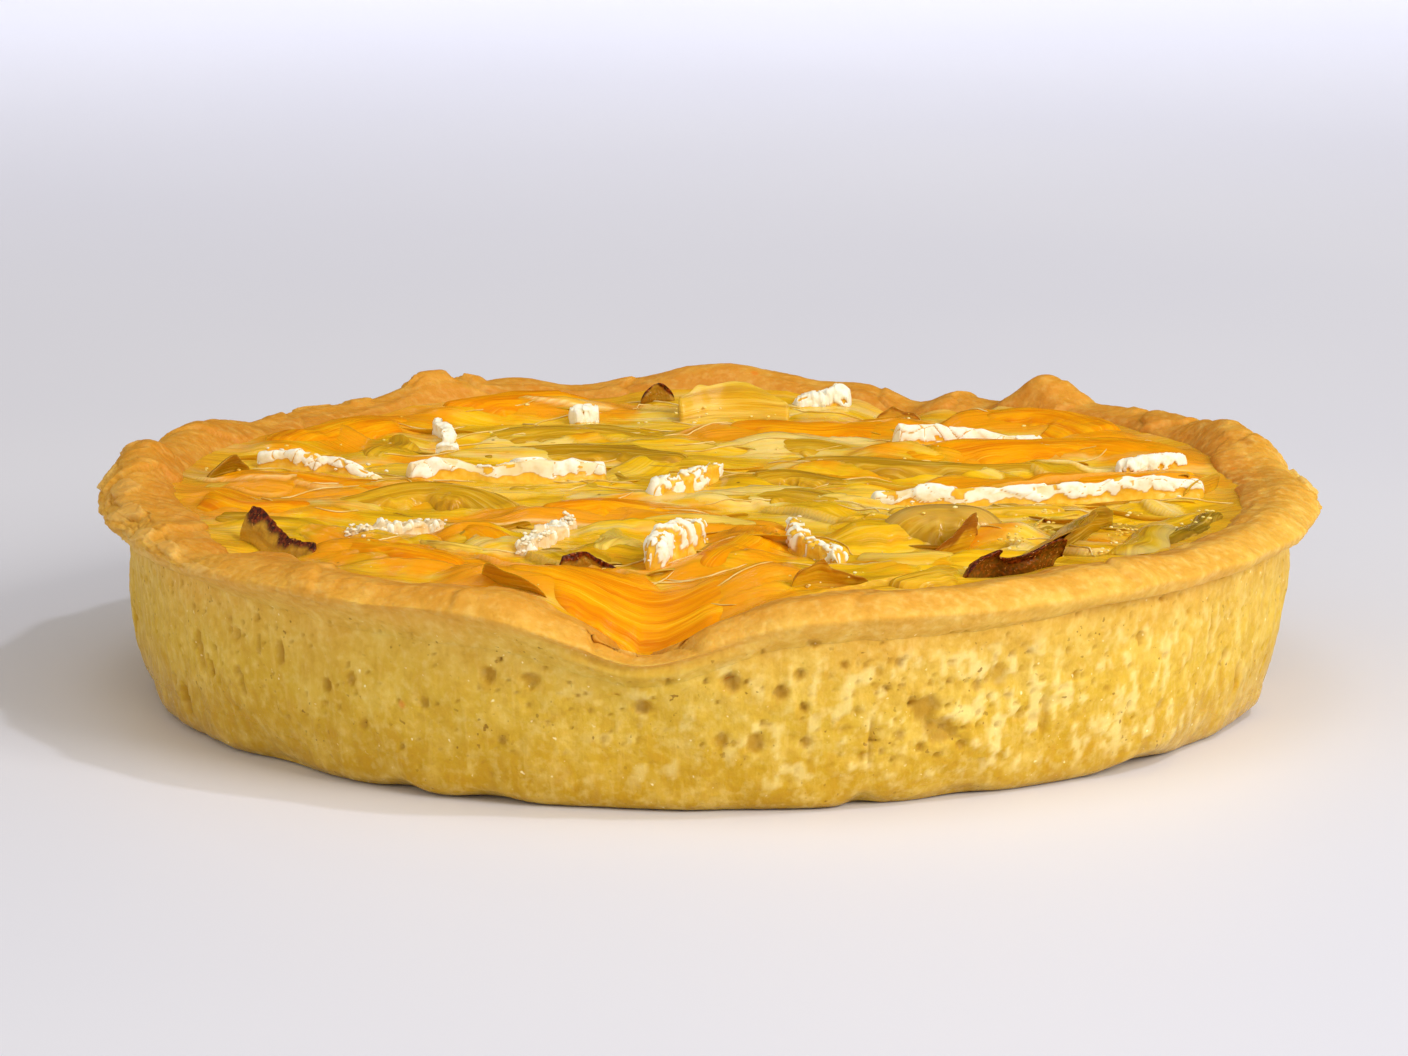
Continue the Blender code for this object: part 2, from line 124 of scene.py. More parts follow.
# Rinds: plates is how many plates the white rind has cracked into along the piece, bare how much
# of it has gone and left golden cheese.
RINDS = {
    "rind_striped": dict(
        spine=((-9, -62), (-7, -54), (-4, -46), (-1, -38)), width=6.0, thick=4.6, plates=9, bare=0.18,
    ),
    "rind_leaf": dict(spine=((-9, -7), (-4, 1), (2, 13)), width=4.6, thick=3.4, plates=3, bare=0.22),
    "rind_curved": dict(
        spine=((13, -31), (14, -42), (16, -53), (20, -62)), width=3.8, thick=3.2, plates=5, bare=0.35,
    ),
    "rind_lace_slant": dict(
        spine=((-29, -52), (-25, -40), (-22, -28)), width=5.0, thick=2.6, plates=12, bare=0.42,
        cream=0.5,
    ),
    "rind_lace_flat": dict(
        spine=((-57, -37), (-50, -34), (-42, -29)), width=5.0, thick=2.0, plates=12, bare=0.42,
        cream=0.5,
    ),
    "rind_flake_right": dict(
        spine=((67, 14), (73, 15), (79, 16)), width=3.6, thick=2.0, plates=1, bare=0.1,
    ),
    "rind_flake_square": dict(
        spine=((-24, 64), (-22, 65), (-19, 65)), width=3.4, thick=3.0, plates=1, bare=0.0,
    ),
    "rind_flake_left": dict(
        spine=((-47, 50), (-45, 46), (-44, 42)), width=3.4, thick=3.0, plates=1, bare=0.05,
        rise=(1, 0.8, 0.6),
    ),
    "rind_flake_low": dict(
        spine=((-46, 34), (-44, 34), (-42, 34)), width=3.0, thick=2.2, plates=1, bare=0.0,
    ),
    "rind_flake_back": dict(
        spine=((15, 76), (20, 78), (25, 77)), width=3.8, thick=3.2, plates=1, bare=0.0,
        rise=(0.4, 0.7, 0.65, 1, 0.7),
    ),
}
# Leek that lies flat: tone goes from olive to straw, pale is how much of it is whitish skin, even how
# uneven its outline is, pleats how deep its folds are, grain how wide its fibres, blunt and end as
# for lay.
RIBBONS = {
    "leek_bulb": dict(
        spine=((26, -40), (34, -38), (41, -39), (46, -42)), width=12.6, thick=6.4, tone=0.4, pale=0.4,
        even=0.10, pleats=0.5, grain=0.6, blunt=0.7, end=0.3,
    ),
    "leek_green_edge": dict(spine=((69, -46), (75, -36), (80, -22)), width=5.8, thick=1.5, tone=0.05),
    "leek_strands_front": dict(spine=((27, -77), (33, -73), (37, -65)), width=7.0, thick=2.0),
    "leek_fold_left": dict(spine=((-60, -15), (-49, -8), (-38, -9), (-31, -17)), width=10.0, thick=2.6),
    "leek_fold_back_right": dict(spine=((14, 24), (26, 18), (40, 15), (58, 18)), width=8.0, thick=2.4),
    "leek_ribbon_middle": dict(spine=((1, -9), (11, -5), (21, -14)), width=10.0, thick=1.8),
    "leek_ribbon_back": dict(spine=((-38, 45), (-22, 50), (-6, 45)), width=13.0, thick=1.8),
    "leek_ribbon_centre": dict(spine=((-39, 29), (-21, 32), (-3, 27)), width=12.0, thick=1.8),
    "leek_ribbon_left": dict(spine=((-64, -29), (-71, -28), (-78, -25)), width=5.6, thick=1.6),
    "leek_ribbon_low": dict(spine=((-44, -44), (-41, -50), (-34, -52)), width=4.0, thick=1.6),
    "leek_ribbon_right": dict(spine=((28, -22), (42, -20), (57, -20)), width=8.0, thick=2.0),
    "leek_round_centre": dict(spine=((7, 8), (16, 9), (24, 4)), width=11.0, thick=1.8),
    "leek_ribbon_left_back": dict(spine=((-57, 26), (-53, 36), (-53, 45)), width=8.0, thick=1.8),
    "leek_ribbon_low_middle": dict(spine=((-16, -34), (-14, -43), (-17, -52)), width=7.0, thick=1.8),
    "leek_ribbon_near_middle": dict(spine=((-11, -31), (-1, -29), (8, -31)), width=7.0, thick=1.8),
    "leek_ribbon_right_low": dict(spine=((23, -55), (30, -60), (38, -57)), width=8.0, thick=2.0),
    "leek_ribbon_back_right": dict(spine=((12, 38), (19, 37), (26, 34)), width=10.0, thick=1.8),
}
# Leek that stands: rise is the height along the piece as shares of its tallest, curl how far the
# sheet bends over in radians, lean which way, tilt how far its foot does already, char how browned
# its edge is, edge where the browning starts as a share of the height, burnt how browned it is all
# over, and waves how wavy it is.
STANDING = {
    "leek_fold_right": dict(
        spine=((45, -58), (50, -46), (54, -33)), thick=9.5, rise=(0.6, 0.9, 1, 0.7), curl=0.35,
        tilt=0.85, lean=-1, char=0.3, tone=0.34,
    ),
    "leek_sheet_right": dict(
        spine=((60, -51), (65, -40), (68, -28)), thick=7.5, rise=(0.8, 1, 0.9, 0.6), curl=1.2,
        tilt=0.75, lean=-1, char=0.1, tone=0.6, pale=0.9,
    ),
    "leek_olive_point": dict(
        spine=((-82, 3), (-79, 10), (-76, 13)), thick=4.2, rise=(0.3, 1, 0.85, 0.5), curl=0.9, lean=-1,
        char=0.15, tone=0.08,
    ),
    "leek_standing_sheet": dict(
        spine=((-5, 64), (4, 68), (14, 67)), thick=6.0, rise=(0.75, 0.9, 1, 0.75, 0.45), curl=0.5,
        lean=1, char=0.0, end=0.03, tone=0.82,
    ),
    "leek_hood_front": dict(
        spine=((12, -78), (17, -75), (24, -74)), thick=5.4, rise=(0.8, 1, 0.5, 0.3), curl=1.0, lean=-1,
        char=0.6,
    ),
    "leek_brown_back": dict(
        spine=((29, 70), (33, 70), (37, 67)), thick=3.6, rise=(0.5, 1, 0.6, 0.3), curl=0.9, lean=-1,
        char=0.7,
    ),
}
BROWNED = {
    "leek_burnt_curl": dict(
        spine=((38, -71), (43, -66), (48, -67), (52, -62)), thick=6.2, rise=(0.4, 0.85, 0.7, 1, 0.85),
        curl=1.25, lean=-1, char=1.0, burnt=0.85, waves=1.1,
    ),
    "leek_brown_tip": dict(
        spine=((-23, -62), (-18, -60), (-14, -62)), thick=4.4, rise=(1, 0.75, 0.45, 0.2), curl=0.6,
        lean=-1, char=0.6, burnt=0.45, end=0.04,
    ),
    "leek_brown_edge_left": dict(
        spine=((-73, -36), (-68, -44), (-61, -53)), thick=4.8, rise=(1, 0.8, 0.5, 0.25), curl=0.5,
        lean=1, char=1.0, end=0.03, edge=0.62,
    ),
    "leek_brown_back_left": dict(
        spine=((-12, 79), (-9, 80), (-6, 80)), thick=3.8, rise=(0.6, 1, 0.9, 0.4), curl=0.7, lean=-1,
        char=0.6, burnt=0.4,
    ),
}


def smoothstep(low, high, value):
    """0 below low, 1 above high, and a smooth climb between them."""
    t = np.clip((value - low) / (high - low), 0, 1)
    return t * t * (3 - 2 * t)


def chance(i, j, k, seed):
    """A repeatable number from 0 to 1 for each whole-numbered cell."""
    i, j, k = (np.asarray(c).astype(np.int64) for c in (i, j, k))
    mixed = (i * 73856093) ^ (j * 19349663) ^ (k * 83492791) ^ (seed * 2654435761)
    mixed = ((mixed ^ (mixed >> 13)) * 1274126177) & 0x7FFFFFFF
    mixed = ((mixed ^ (mixed >> 15)) * 2246822519) & 0x7FFFFFFF
    return ((mixed ^ (mixed >> 16)) % 65536) / 65535


def billows(x, y, z, seed):
    """Smooth noise from -1 to 1 with a bump about every unit."""
    x, y, z = np.broadcast_arrays(x, y, z)
    cells = [np.floor(c) for c in (x, y, z)]
    ease = [smoothstep(0, 1, c - floor) for c, floor in zip((x, y, z), cells)]
    total = 0.0
    for corner in range(8):
        step = (corner & 1, corner >> 1 & 1, corner >> 2 & 1)
        weight = 1.0
        for axis in range(3):
            weight = weight * (ease[axis] if step[axis] else 1 - ease[axis])
        total = total + weight * chance(*(c + s for c, s in zip(cells, step)), seed)
    return 2 * total - 1


def layered(x, y, z, seed, octaves=3):
    """Billows with finer ones added, each half the size of the last."""
    return sum(billows(x * 2**k, y * 2**k, z * 2**k, seed + k) / 2**k for k in range(octaves))


def pits(s, t, spacing, size, stretch, seed, share=1.0):
    """Depth from 0 to 1 of hollows scattered over a surface, which s and t measure in mm."""
    i0, j0 = np.floor(s / spacing), np.floor(t / spacing)
    deepest = np.zeros_like(s)
    for di in (-1, 0, 1):
        for dj in (-1, 0, 1):
            i, j = i0 + di, j0 + dj
            at_s = (i + 0.15 + 0.7 * chance(i, j, 0, seed)) * spacing
            at_t = (j + 0.15 + 0.7 * chance(i, j, 1, seed)) * spacing
            radius = size * (0.35 + 0.65 * chance(i, j, 2, seed) ** 2)
            away = np.hypot((s - at_s) / radius, (t - at_t) / (radius * stretch))
            there = chance(i, j, 3, seed) < share
            deepest = np.maximum(deepest, there * smoothstep(1.0, 0.45, away))
    return deepest


def facets(s, t, spacing, seed):
    """Plates split off one another: how high a point on its plate lies, from about -1 to 1, and
    how far it is from the plate's edge as a share of the spacing."""
    i0, j0 = np.floor(s / spacing), np.floor(t / spacing)
    first = np.full(np.shape(s), 9.0)
    second, height = first.copy(), np.zeros_like(first)
    for di in (-1, 0, 1):
        for dj in (-1, 0, 1):
            i, j = i0 + di, j0 + dj
            ds = s / spacing - i - 0.1 - 0.8 * chance(i, j, 0, seed)
            dt = t / spacing - j - 0.1 - 0.8 * chance(i, j, 1, seed)
            away = np.hypot(ds, dt)
            lean = (chance(i, j, 2, seed) - 0.5) * ds + (chance(i, j, 3, seed) - 0.5) * dt
            level = 1.6 * (chance(i, j, 4, seed) - 0.5) + 1.8 * lean
            second = np.where(away < first, first, np.minimum(second, away))
            height = np.where(away < first, level, height)
            first = np.minimum(first, away)
    return height, second - first


def turned(angle, centre):
    """How many degrees past centre an angle is, from -180 to 180."""
    return (angle - centre + 180) % 360 - 180


def waves_at(angle, waves):
    """The sum of the bumps in waves at this angle."""
    return sum(high * np.exp(-((turned(angle, centre) / spread) ** 2)) for centre, spread, high in waves)


def uneven(size, seed, steps=5):
    """The part's own unevenness round the tart, as a function of the angle."""
    angles = np.arange(0, 360.1, 0.5)
    turns = np.radians(angles)
    places = [Vector((steps * math.cos(a), steps * math.sin(a), seed)) for a in turns]
    values = [size * noise.noise(place) for place in places]
    return lambda angle: np.interp(angle % 360, angles, values)


def crag(seed):
    """The part's own raggedness of an edge, stronger where the dough is torn."""
    ragged = uneven(0.9, seed, steps=12)
    return lambda angle: ragged(angle) * (1 + waves_at(angle, CRAG_WAVES))


crest_uneven, lip_uneven, out_uneven = uneven(0.9, 1.0), uneven(0.5, 2.0), uneven(1.2, 3.0)
foot_uneven, wall_uneven = uneven(1.6, 5.0), uneven(1.0, 6.0)
crest_crag, out_crag, flap_crag = crag(7.0), crag(8.0), crag(9.0)


def crest_height(angle):
    """Height of the rim's top."""
    return CREST_HEIGHT + waves_at(angle, CREST_WAVES) + crest_uneven(angle) + 0.5 * crest_crag(angle)


def lip_height(angle):
    """Height at which the rim stands out furthest over the wall."""
    return LIP_HEIGHT + waves_at(angle, NOTCH_WAVE) + lip_uneven(angle)


def lip_radius(angle):
    """How far out the rim reaches."""
    return LIP_RADIUS + waves_at(angle, LIP_WAVES) + out_uneven(angle) + out_crag(angle)


def flap_radius(angle):
    """How far in the rim's inner edge reaches over the custard."""
    return INNER_RADIUS - 0.7 - waves_at(angle, FLAP_WAVES) + 0.4 * flap_crag(angle)


def custard_edge(angle):
    """Height of the custard where it meets the pastry."""
    return np.minimum(CUSTARD_HIGHEST_EDGE, crest_height(angle) - 2.2)


# The custard's ripples, as in the part, on a square grid 1 mm apart: half its side in mm, and heights
RIPPLE_SIDE = 89
RIPPLE_LINE = np.arange(-RIPPLE_SIDE, RIPPLE_SIDE + 1.0)
RIPPLES = np.array([
    [noise.noise(Vector((x / 17, y / 11, 4.0))) for x in RIPPLE_LINE] for y in RIPPLE_LINE
])


def custard_height(x, y):
    """Height of the custard's even surface, as in the part."""
    radius = np.hypot(x, y)
    angle = np.degrees(np.arctan2(y, x)) % 360
    i = np.clip(x + RIPPLE_SIDE, 0, 2 * RIPPLE_SIDE - 0.001)
    j = np.clip(y + RIPPLE_SIDE, 0, 2 * RIPPLE_SIDE - 0.001)
    a, b = i.astype(int), j.astype(int)
    p, q = i - a, j - b
    ripple = (RIPPLES[b, a] * (1 - p) + RIPPLES[b, a + 1] * p) * (1 - q)
    ripple = ripple + (RIPPLES[b + 1, a] * (1 - p) + RIPPLES[b + 1, a + 1] * p) * q
    ripple = 1.1 * ripple * (1 - smoothstep(70, INNER_RADIUS, radius))
    climb = (custard_edge(angle) - CUSTARD_LEVEL) * smoothstep(58, INNER_RADIUS, radius)
    return CUSTARD_LEVEL + ripple + climb


def through(points, t):
    """A smooth curve through points, a list of values or arrays, at t from 0 to len - 1."""
    points = [2 * points[0] - points[1], *points, 2 * points[-1] - points[-2]]
    stack = np.array([np.broadcast_to(p, np.shape(t)) for p in points])
    i = np.minimum(t.astype(int), len(points) - 4)
    u = t - i
    cols = np.arange(len(t))
    a, b, c, d = (stack[i + k, cols] for k in range(4))
    square, cube = 2 * a - 5 * b + 4 * c - d, 3 * b - 3 * c + d - a
    return 0.5 * (2 * b + (c - a) * u + square * u**2 + cube * u**3)


def grid(name, along, across, place, ring=False):
    """A primitive grid whose points are moved to place(u, v), in mm, where u and v run from 0 to 1.

    place also gives marks, numbers at each point that the finishes read. A ring's two ends meet.
    """
    bpy.ops.object.select_all(action="DESELECT")
    bpy.ops.mesh.primitive_grid_add(x_subdivisions=along, y_subdivisions=across, size=1.0)
    piece = bpy.context.object
    piece.name = piece.data.name = name
    flat = np.empty(3 * len(piece.data.vertices), dtype=np.float32)
    piece.data.vertices.foreach_get("co", flat)
    flat = flat.reshape(-1, 3).astype(float)
    u, v = np.clip(flat[:, 0] + 0.5, 0, 1), np.clip(flat[:, 1] + 0.5, 0, 1)
    if ring:
        u = np.where(u > 1 - 0.5 / along, 0.0, u)
    points, marks = place(u, v)
    piece.data.vertices.foreach_set("co", (np.stack(points, axis=1) * MM).ravel())
    for key, values in marks.items():
        mark = piece.data.attributes.new(key, "FLOAT", "POINT")
        mark.data.foreach_set("value", np.broadcast_to(values, u.shape).astype(np.float32))
    return piece


def seal(piece):
    """Joins the points that meet and turns the faces outwards."""
    bpy.ops.object.mode_set(mode="EDIT")
    bpy.ops.mesh.select_all(action="SELECT")
    bpy.ops.mesh.remove_doubles(threshold=0.0000005)
    bpy.ops.mesh.normals_make_consistent(inside=False)
    bpy.ops.object.mode_set(mode="OBJECT")
    return piece


def finish_piece(piece, finish, nodes=()):
    """Gives a piece its finish and ties it to the tart's body."""
    piece.data.materials.clear()
    piece.data.materials.append(finish)
    bpy.ops.object.select_all(action="DESELECT")
    piece.select_set(True)
    bpy.context.view_layer.objects.active = piece
    bpy.ops.object.transform_apply(location=True, rotation=True, scale=True)
    bpy.ops.object.shade_smooth()
    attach(piece, "root")
    if nodes:
        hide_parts(*nodes)
    return piece


def joined(name, pieces):
    """One mesh of all the pieces."""
    bpy.ops.object.select_all(action="DESELECT")
    for piece in pieces:
        piece.select_set(True)
    bpy.context.view_layer.objects.active = pieces[0]
    bpy.ops.object.join()
    made = bpy.context.object
    made.name = made.data.name = name
    return made


# Wall of the shell. Places where the foot is lifted off the surface under it: angle, half width
# in degrees, height in mm.
FOOT_LIFTS = (
    (239, 2.2, 1.3), (248.5, 3.0, 1.2), (284.8, 1.4, 1.6), (295.5, 2.8, 1.0), (317, 4.5, 1.8),
    (222, 3.5, 0.7), (345, 6, 0.9), (12, 4, 1.2), (48, 3, 1.4), (77, 6, 0.9), (121, 3, 1.5),
    (156, 5, 1.1), (190, 4, 0.8),
)
# Slits and torn hollows that show: angle, height, half width in mm, half height in mm, depth in mm
HOLLOWS = (
    (212.3, 16.2, 0.9, 3.4, 1.3), (214.2, 13.4, 0.7, 1.4, 1.1), (222.8, 20.0, 0.5, 1.7, 0.9),
    (225.6, 19.4, 0.8, 2.3, 1.2), (219.8, 12.6, 0.5, 2.0, 0.8), (231.5, 15.3, 0.9, 1.2, 1.0),
    (234.8, 17.4, 0.8, 1.2, 0.7), (206.6, 6.1, 1.5, 2.6, 1.2), (249.4, 20.5, 1.3, 1.5, 0.9),
    (253.5, 20.3, 1.5, 1.3, 0.8), (263.9, 16.6, 1.6, 1.4, 1.0), (271.9, 20.8, 1.5, 1.6, 1.3),
    (276.4, 19.0, 1.2, 1.6, 1.1), (278.5, 16.8, 0.8, 0.9, 1.0), (271.1, 11.6, 1.4, 1.5, 0.8),
    (274.1, 11.4, 1.6, 1.6, 0.9), (290.1, 15.4, 2.6, 2.2, 1.1), (291.6, 11.6, 3.2, 2.4, 0.8),
    (285.0, 10.6, 0.6, 4.6, 0.7), (279.3, 26.8, 1.2, 0.9, 0.8), (297.5, 19.5, 1.6, 2.0, 0.6),
    (303.0, 12.0, 0.9, 3.6, 0.6), (326.0, 19.0, 0.7, 3.2, 0.8), (333.0, 10.0, 0.9, 2.4, 0.7),
    (20.0, 15.0, 1.1, 2.2, 0.9), (37.0, 19.0, 1.5, 1.5, 0.9), (63.0, 12.0, 0.8, 2.8, 1.0),
    (88.0, 20.0, 1.4, 1.4, 0.8), (104.0, 14.0, 0.8, 3.0, 1.1), (131.0, 18.0, 1.5, 1.7, 1.0),
    (148.0, 9.0, 1.0, 2.1, 0.8), (171.0, 17.0, 0.8, 3.1, 1.1), (188.0, 13.0, 0.9, 2.2, 0.9),
)
# Where pale curds of dough stand on the wall: angle, spread, share
WALL_CURDS = ((290, 20, 1.0), (320, 18, 0.7), (265, 10, 0.4), (80, 40, 0.5))
WALL_SECTORS = 984
# Faces between each two points of the wall's section
WALL_STEPS = (1, 1, 1, 5, 6, 14, 18, 20, 8, 2, 2, 2, 2, 1, 1, 1)


def wall_relief(angle, z):
    """How far the wall stands out of its even form in mm, how much painted shade its pores and
    hollows get by their depth, and how much of it is pale curd."""
    turn = np.radians(angle)
    x, y = WALL_RADIUS * np.cos(turn), WALL_RADIUS * np.sin(turn)
    s = WALL_RADIUS * np.radians((angle - 90) % 360)
    upper = smoothstep(3, 13, z)
    left = np.exp(-((turned(angle, 215) / 32) ** 2))
    spongy = np.exp(-((turned(angle, 292) / 13) ** 2)) * smoothstep(3, 9, z) * smoothstep(26, 20, z)
    relief = 0.55 * billows(x / 24, y / 24, z / 15, 11) + 0.34 * layered(x / 9, y / 9, z / 7, 12, 2)
    relief += (0.10 + 0.16 * left) * layered(x / 2.6, y / 2.6, z / 11, 15, 2)
    relief += (0.07 + 0.09 * upper + 0.12 * spongy) * layered(x / 1.9, y / 1.9, z / 1.7, 18, 2)
    large = pits(s, z, 6.5, 1.1, 1.25, 21, 0.42) * (0.25 + 0.75 * upper)
    small = pits(s, z, 2.4, 0.62, 1.2, 22, 0.42) * (0.25 + 0.75 * upper)
    holes = pits(s, z, 3.4, 1.25, 1.0, 23, 0.75) * spongy
    relief -= 0.75 * large + 0.42 * small + 0.9 * holes
    curds = np.clip(waves_at(angle, WALL_CURDS), 0, 1)
    curds = curds * smoothstep(1, 6, z) * smoothstep(27, 22, z)
    lumps = layered(x / 1.7, y / 1.7, z / 2.3, 24, 3)
    relief += 0.22 * curds * lumps
    # painted shade: pores and hollows are darkened by their depth
    hollow_shade = np.maximum(0.8 * large, np.maximum(0.7 * small, 0.7 * holes))
    for at, height, wide, tall, depth in HOLLOWS:
        away_s = WALL_RADIUS * np.radians(turned(angle, at)) / wide
        ragged = 0.25 * billows(x / 0.9, y / 0.9, z / 0.9, 31)
        hollow = smoothstep(1.15, 0.55, np.hypot(away_s, (z - height) / tall) + ragged)
        relief -= depth * hollow
        hollow_shade = np.maximum(hollow_shade, hollow * min(1.0, depth))
    return relief, hollow_shade, curds * smoothstep(0.1, 0.7, lumps)


def wall_place(u, v):
    """The wall with the shell's floor and inside: u goes round the tart, v round the section."""
    angle = 360 * u
    turn = np.radians(angle)
    lip, edge = lip_height(angle), custard_edge(angle)
    foot = FOOT_RADIUS + foot_uneven(angle)
    wobble = wall_uneven(angle)
    lift = sum(h * np.exp(-((turned(angle, a) / w) ** 2)) for a, w, h in FOOT_LIFTS)
    section = (
        (0.0, 0.0),
        (60.0, 0.0),
        (84.0, 0.0),
        (86.5, 0.25 * lift),
        (foot - 1.8, 0.35 + 0.9 * lift),
        (foot, 2.4 + 0.6 * lift),
        (FOOT_RADIUS + 1.4 + wobble, 8.0),
        (WALL_RADIUS - 0.9 + wobble, 16.0),
        (WALL_RADIUS - 0.2, lip - 4.0),
        (WALL_RADIUS, lip - 0.9),
        (WALL_RADIUS - 0.4, lip + 0.6),
        (91.5, lip + 1.0),
        (88.2, edge - 2.0),
        (86.0, 16.0),
        (INNER_FOOT_RADIUS, 8.0),
        (INNER_FOOT_RADIUS - 3.0, FLOOR_THICKNESS),
        (0.0, FLOOR_THICKNESS),
    )
    rows = np.cumsum((0,) + WALL_STEPS)
    t = np.interp(v * rows[-1], rows, np.arange(len(rows)))
    radius = through([p[0] for p in section], t)
    z = through([p[1] for p in section], t)
    flat = (t <= 2) | (t >= 15)
    radius = np.where(flat, np.interp(t, (0, 1, 2, 15, 16), (0, 60, 84, 80, 0)), radius)
    z = np.where(t <= 2, 0.0, np.where(t >= 15, FLOOR_THICKNESS, np.maximum(z, 0.0)))
    shows = smoothstep(3.2, 4.2, t) * smoothstep(9.6, 9.0, t)
    relief, hollow_shade, curd = wall_relief(angle, z)
    radius = radius + shows * relief
    none = np.zeros_like(relief)
    marks = dict(hollow_shade=hollow_shade * shows, curd=curd * shows, raised=none, flake=none, toast=none)
    marks["level"] = z / LIP_HEIGHT
    return (radius * np.cos(turn), radius * np.sin(turn), z), marks


# Rim. Its folds: angle, width in degrees up to the crease, height in mm, and how many degrees
# the crease slants over the rim. A negative width has its crease on the other side.
RIM_FOLDS = (
    (356, 12, 1.5, 10), (16, 9, 1.1, -8), (27, -7, 1.0, 9), (35, 6, 0.9, -7), (44, -5, 0.8, 5),
    (311, -7, 0.9, 9), (283, 9, 0.4, 12), (268, -5, 1.1, -6), (259, 5, 1.2, 5), (247, -5, 0.6, 6),
    (232, 6, 0.7, -7), (217, -4, 0.8, 6), (205, 4, 0.9, -6), (194, -4, 0.8, 5), (184, 4, 0.9, -7),
    (173, -5, 1.2, 9), (161, 5, 0.8, -8), (141, -6, 0.7, 7), (118, 5, 0.8, -6), (97, -6, 0.7, 7),
    (71, 5, 0.8, -6), (60, -4, 0.7, 5),
)
# Flat flakes that lie on the rim: angle, share of the way over it, half length along the rim and
# half width in mm, tilt in degrees, and thickness in mm
RIM_FLAKES = (
    (187.5, 0.52, 4.4, 2.6, 20, 0.8), (195.5, 0.48, 4.8, 2.2, -10, 0.9),
    (203.5, 0.40, 3.4, 1.9, 30, 0.8), (209.5, 0.43, 4.2, 2.0, -18, 0.9),
    (180.5, 0.40, 3.8, 2.4, -25, 0.9), (174.0, 0.50, 3.6, 2.0, 12, 0.8),
    (216.5, 0.38, 4.6, 1.6, -8, 0.7), (262.0, 0.56, 2.6, 1.6, -30, 0.7),
    (1.0, 0.40, 4.4, 2.2, 22, 0.9), (8.0, 0.34, 3.2, 1.8, -20, 0.8), (30.0, 0.50, 3.8, 1.8, 15, 0.6),
    (83.0, 0.46, 4.2, 1.9, -12, 0.6), (112.0, 0.43, 3.2, 1.7, 25, 0.7),
    (137.0, 0.50, 4.4, 2.0, -15, 0.6), (158.0, 0.41, 3.8, 2.1, 18, 0.8),
)
# Toasted spots on the rim: angle, share of the way over it, half length and half width in mm, share
RIM_TOASTS = (
    (110.5, 0.46, 3.0, 2.2, 1.0), (308.5, 0.57, 1.6, 1.0, 0.5), (14.0, 0.62, 3.0, 1.6, 0.35),
    (96.0, 0.62, 2.4, 1.4, 0.3), (233.0, 0.36, 2.6, 1.2, 0.3), (174.0, 0.42, 2.2, 1.4, 0.35),
    (153.0, 0.50, 2.0, 1.2, 0.3), (42.0, 0.55, 2.4, 1.3, 0.3),
)
# Small lumps of dough that stand on the crest: angle, half length in degrees, height in mm
RIM_LUMPS = (
    (121.5, 2.3, 1.3), (116.5, 1.2, 0.7), (131.0, 1.5, 0.6), (47.0, 1.6, 0.6), (38.0, 1.2, 0.5),
    (21.0, 1.8, 0.6),
)
# Where the dough runs down into the wall without a step under it: angle, spread, share
RIM_MELTS = ((246, 32, 0.95), (200, 14, 0.3), (290, 14, 0.35), (60, 22, 0.5), (120, 20, 0.6))
RIM_SECTORS = 1060
RIM_STEPS = (3, 6, 6, 6, 6, 9, 11, 9, 9, 9, 6, 4, 4, 2)
# Distance round the rim's section, radius of its middle line and widest radius, in mm
RIM_ACROSS = 40.0
RIM_MIDDLE = 95
RIM_WIDEST = 99.2
# Where the rim is split into small plates, and where it is finely folded: angle, spread, share
RIM_RAGGED = ((196, 26, 0.9), (10, 20, 0.4), (236, 10, 0.3), (120, 30, 0.3))
RIM_FOLDED = ((0, 45, 1.0), (190, 35, 1.0), (258, 10, 0.8))


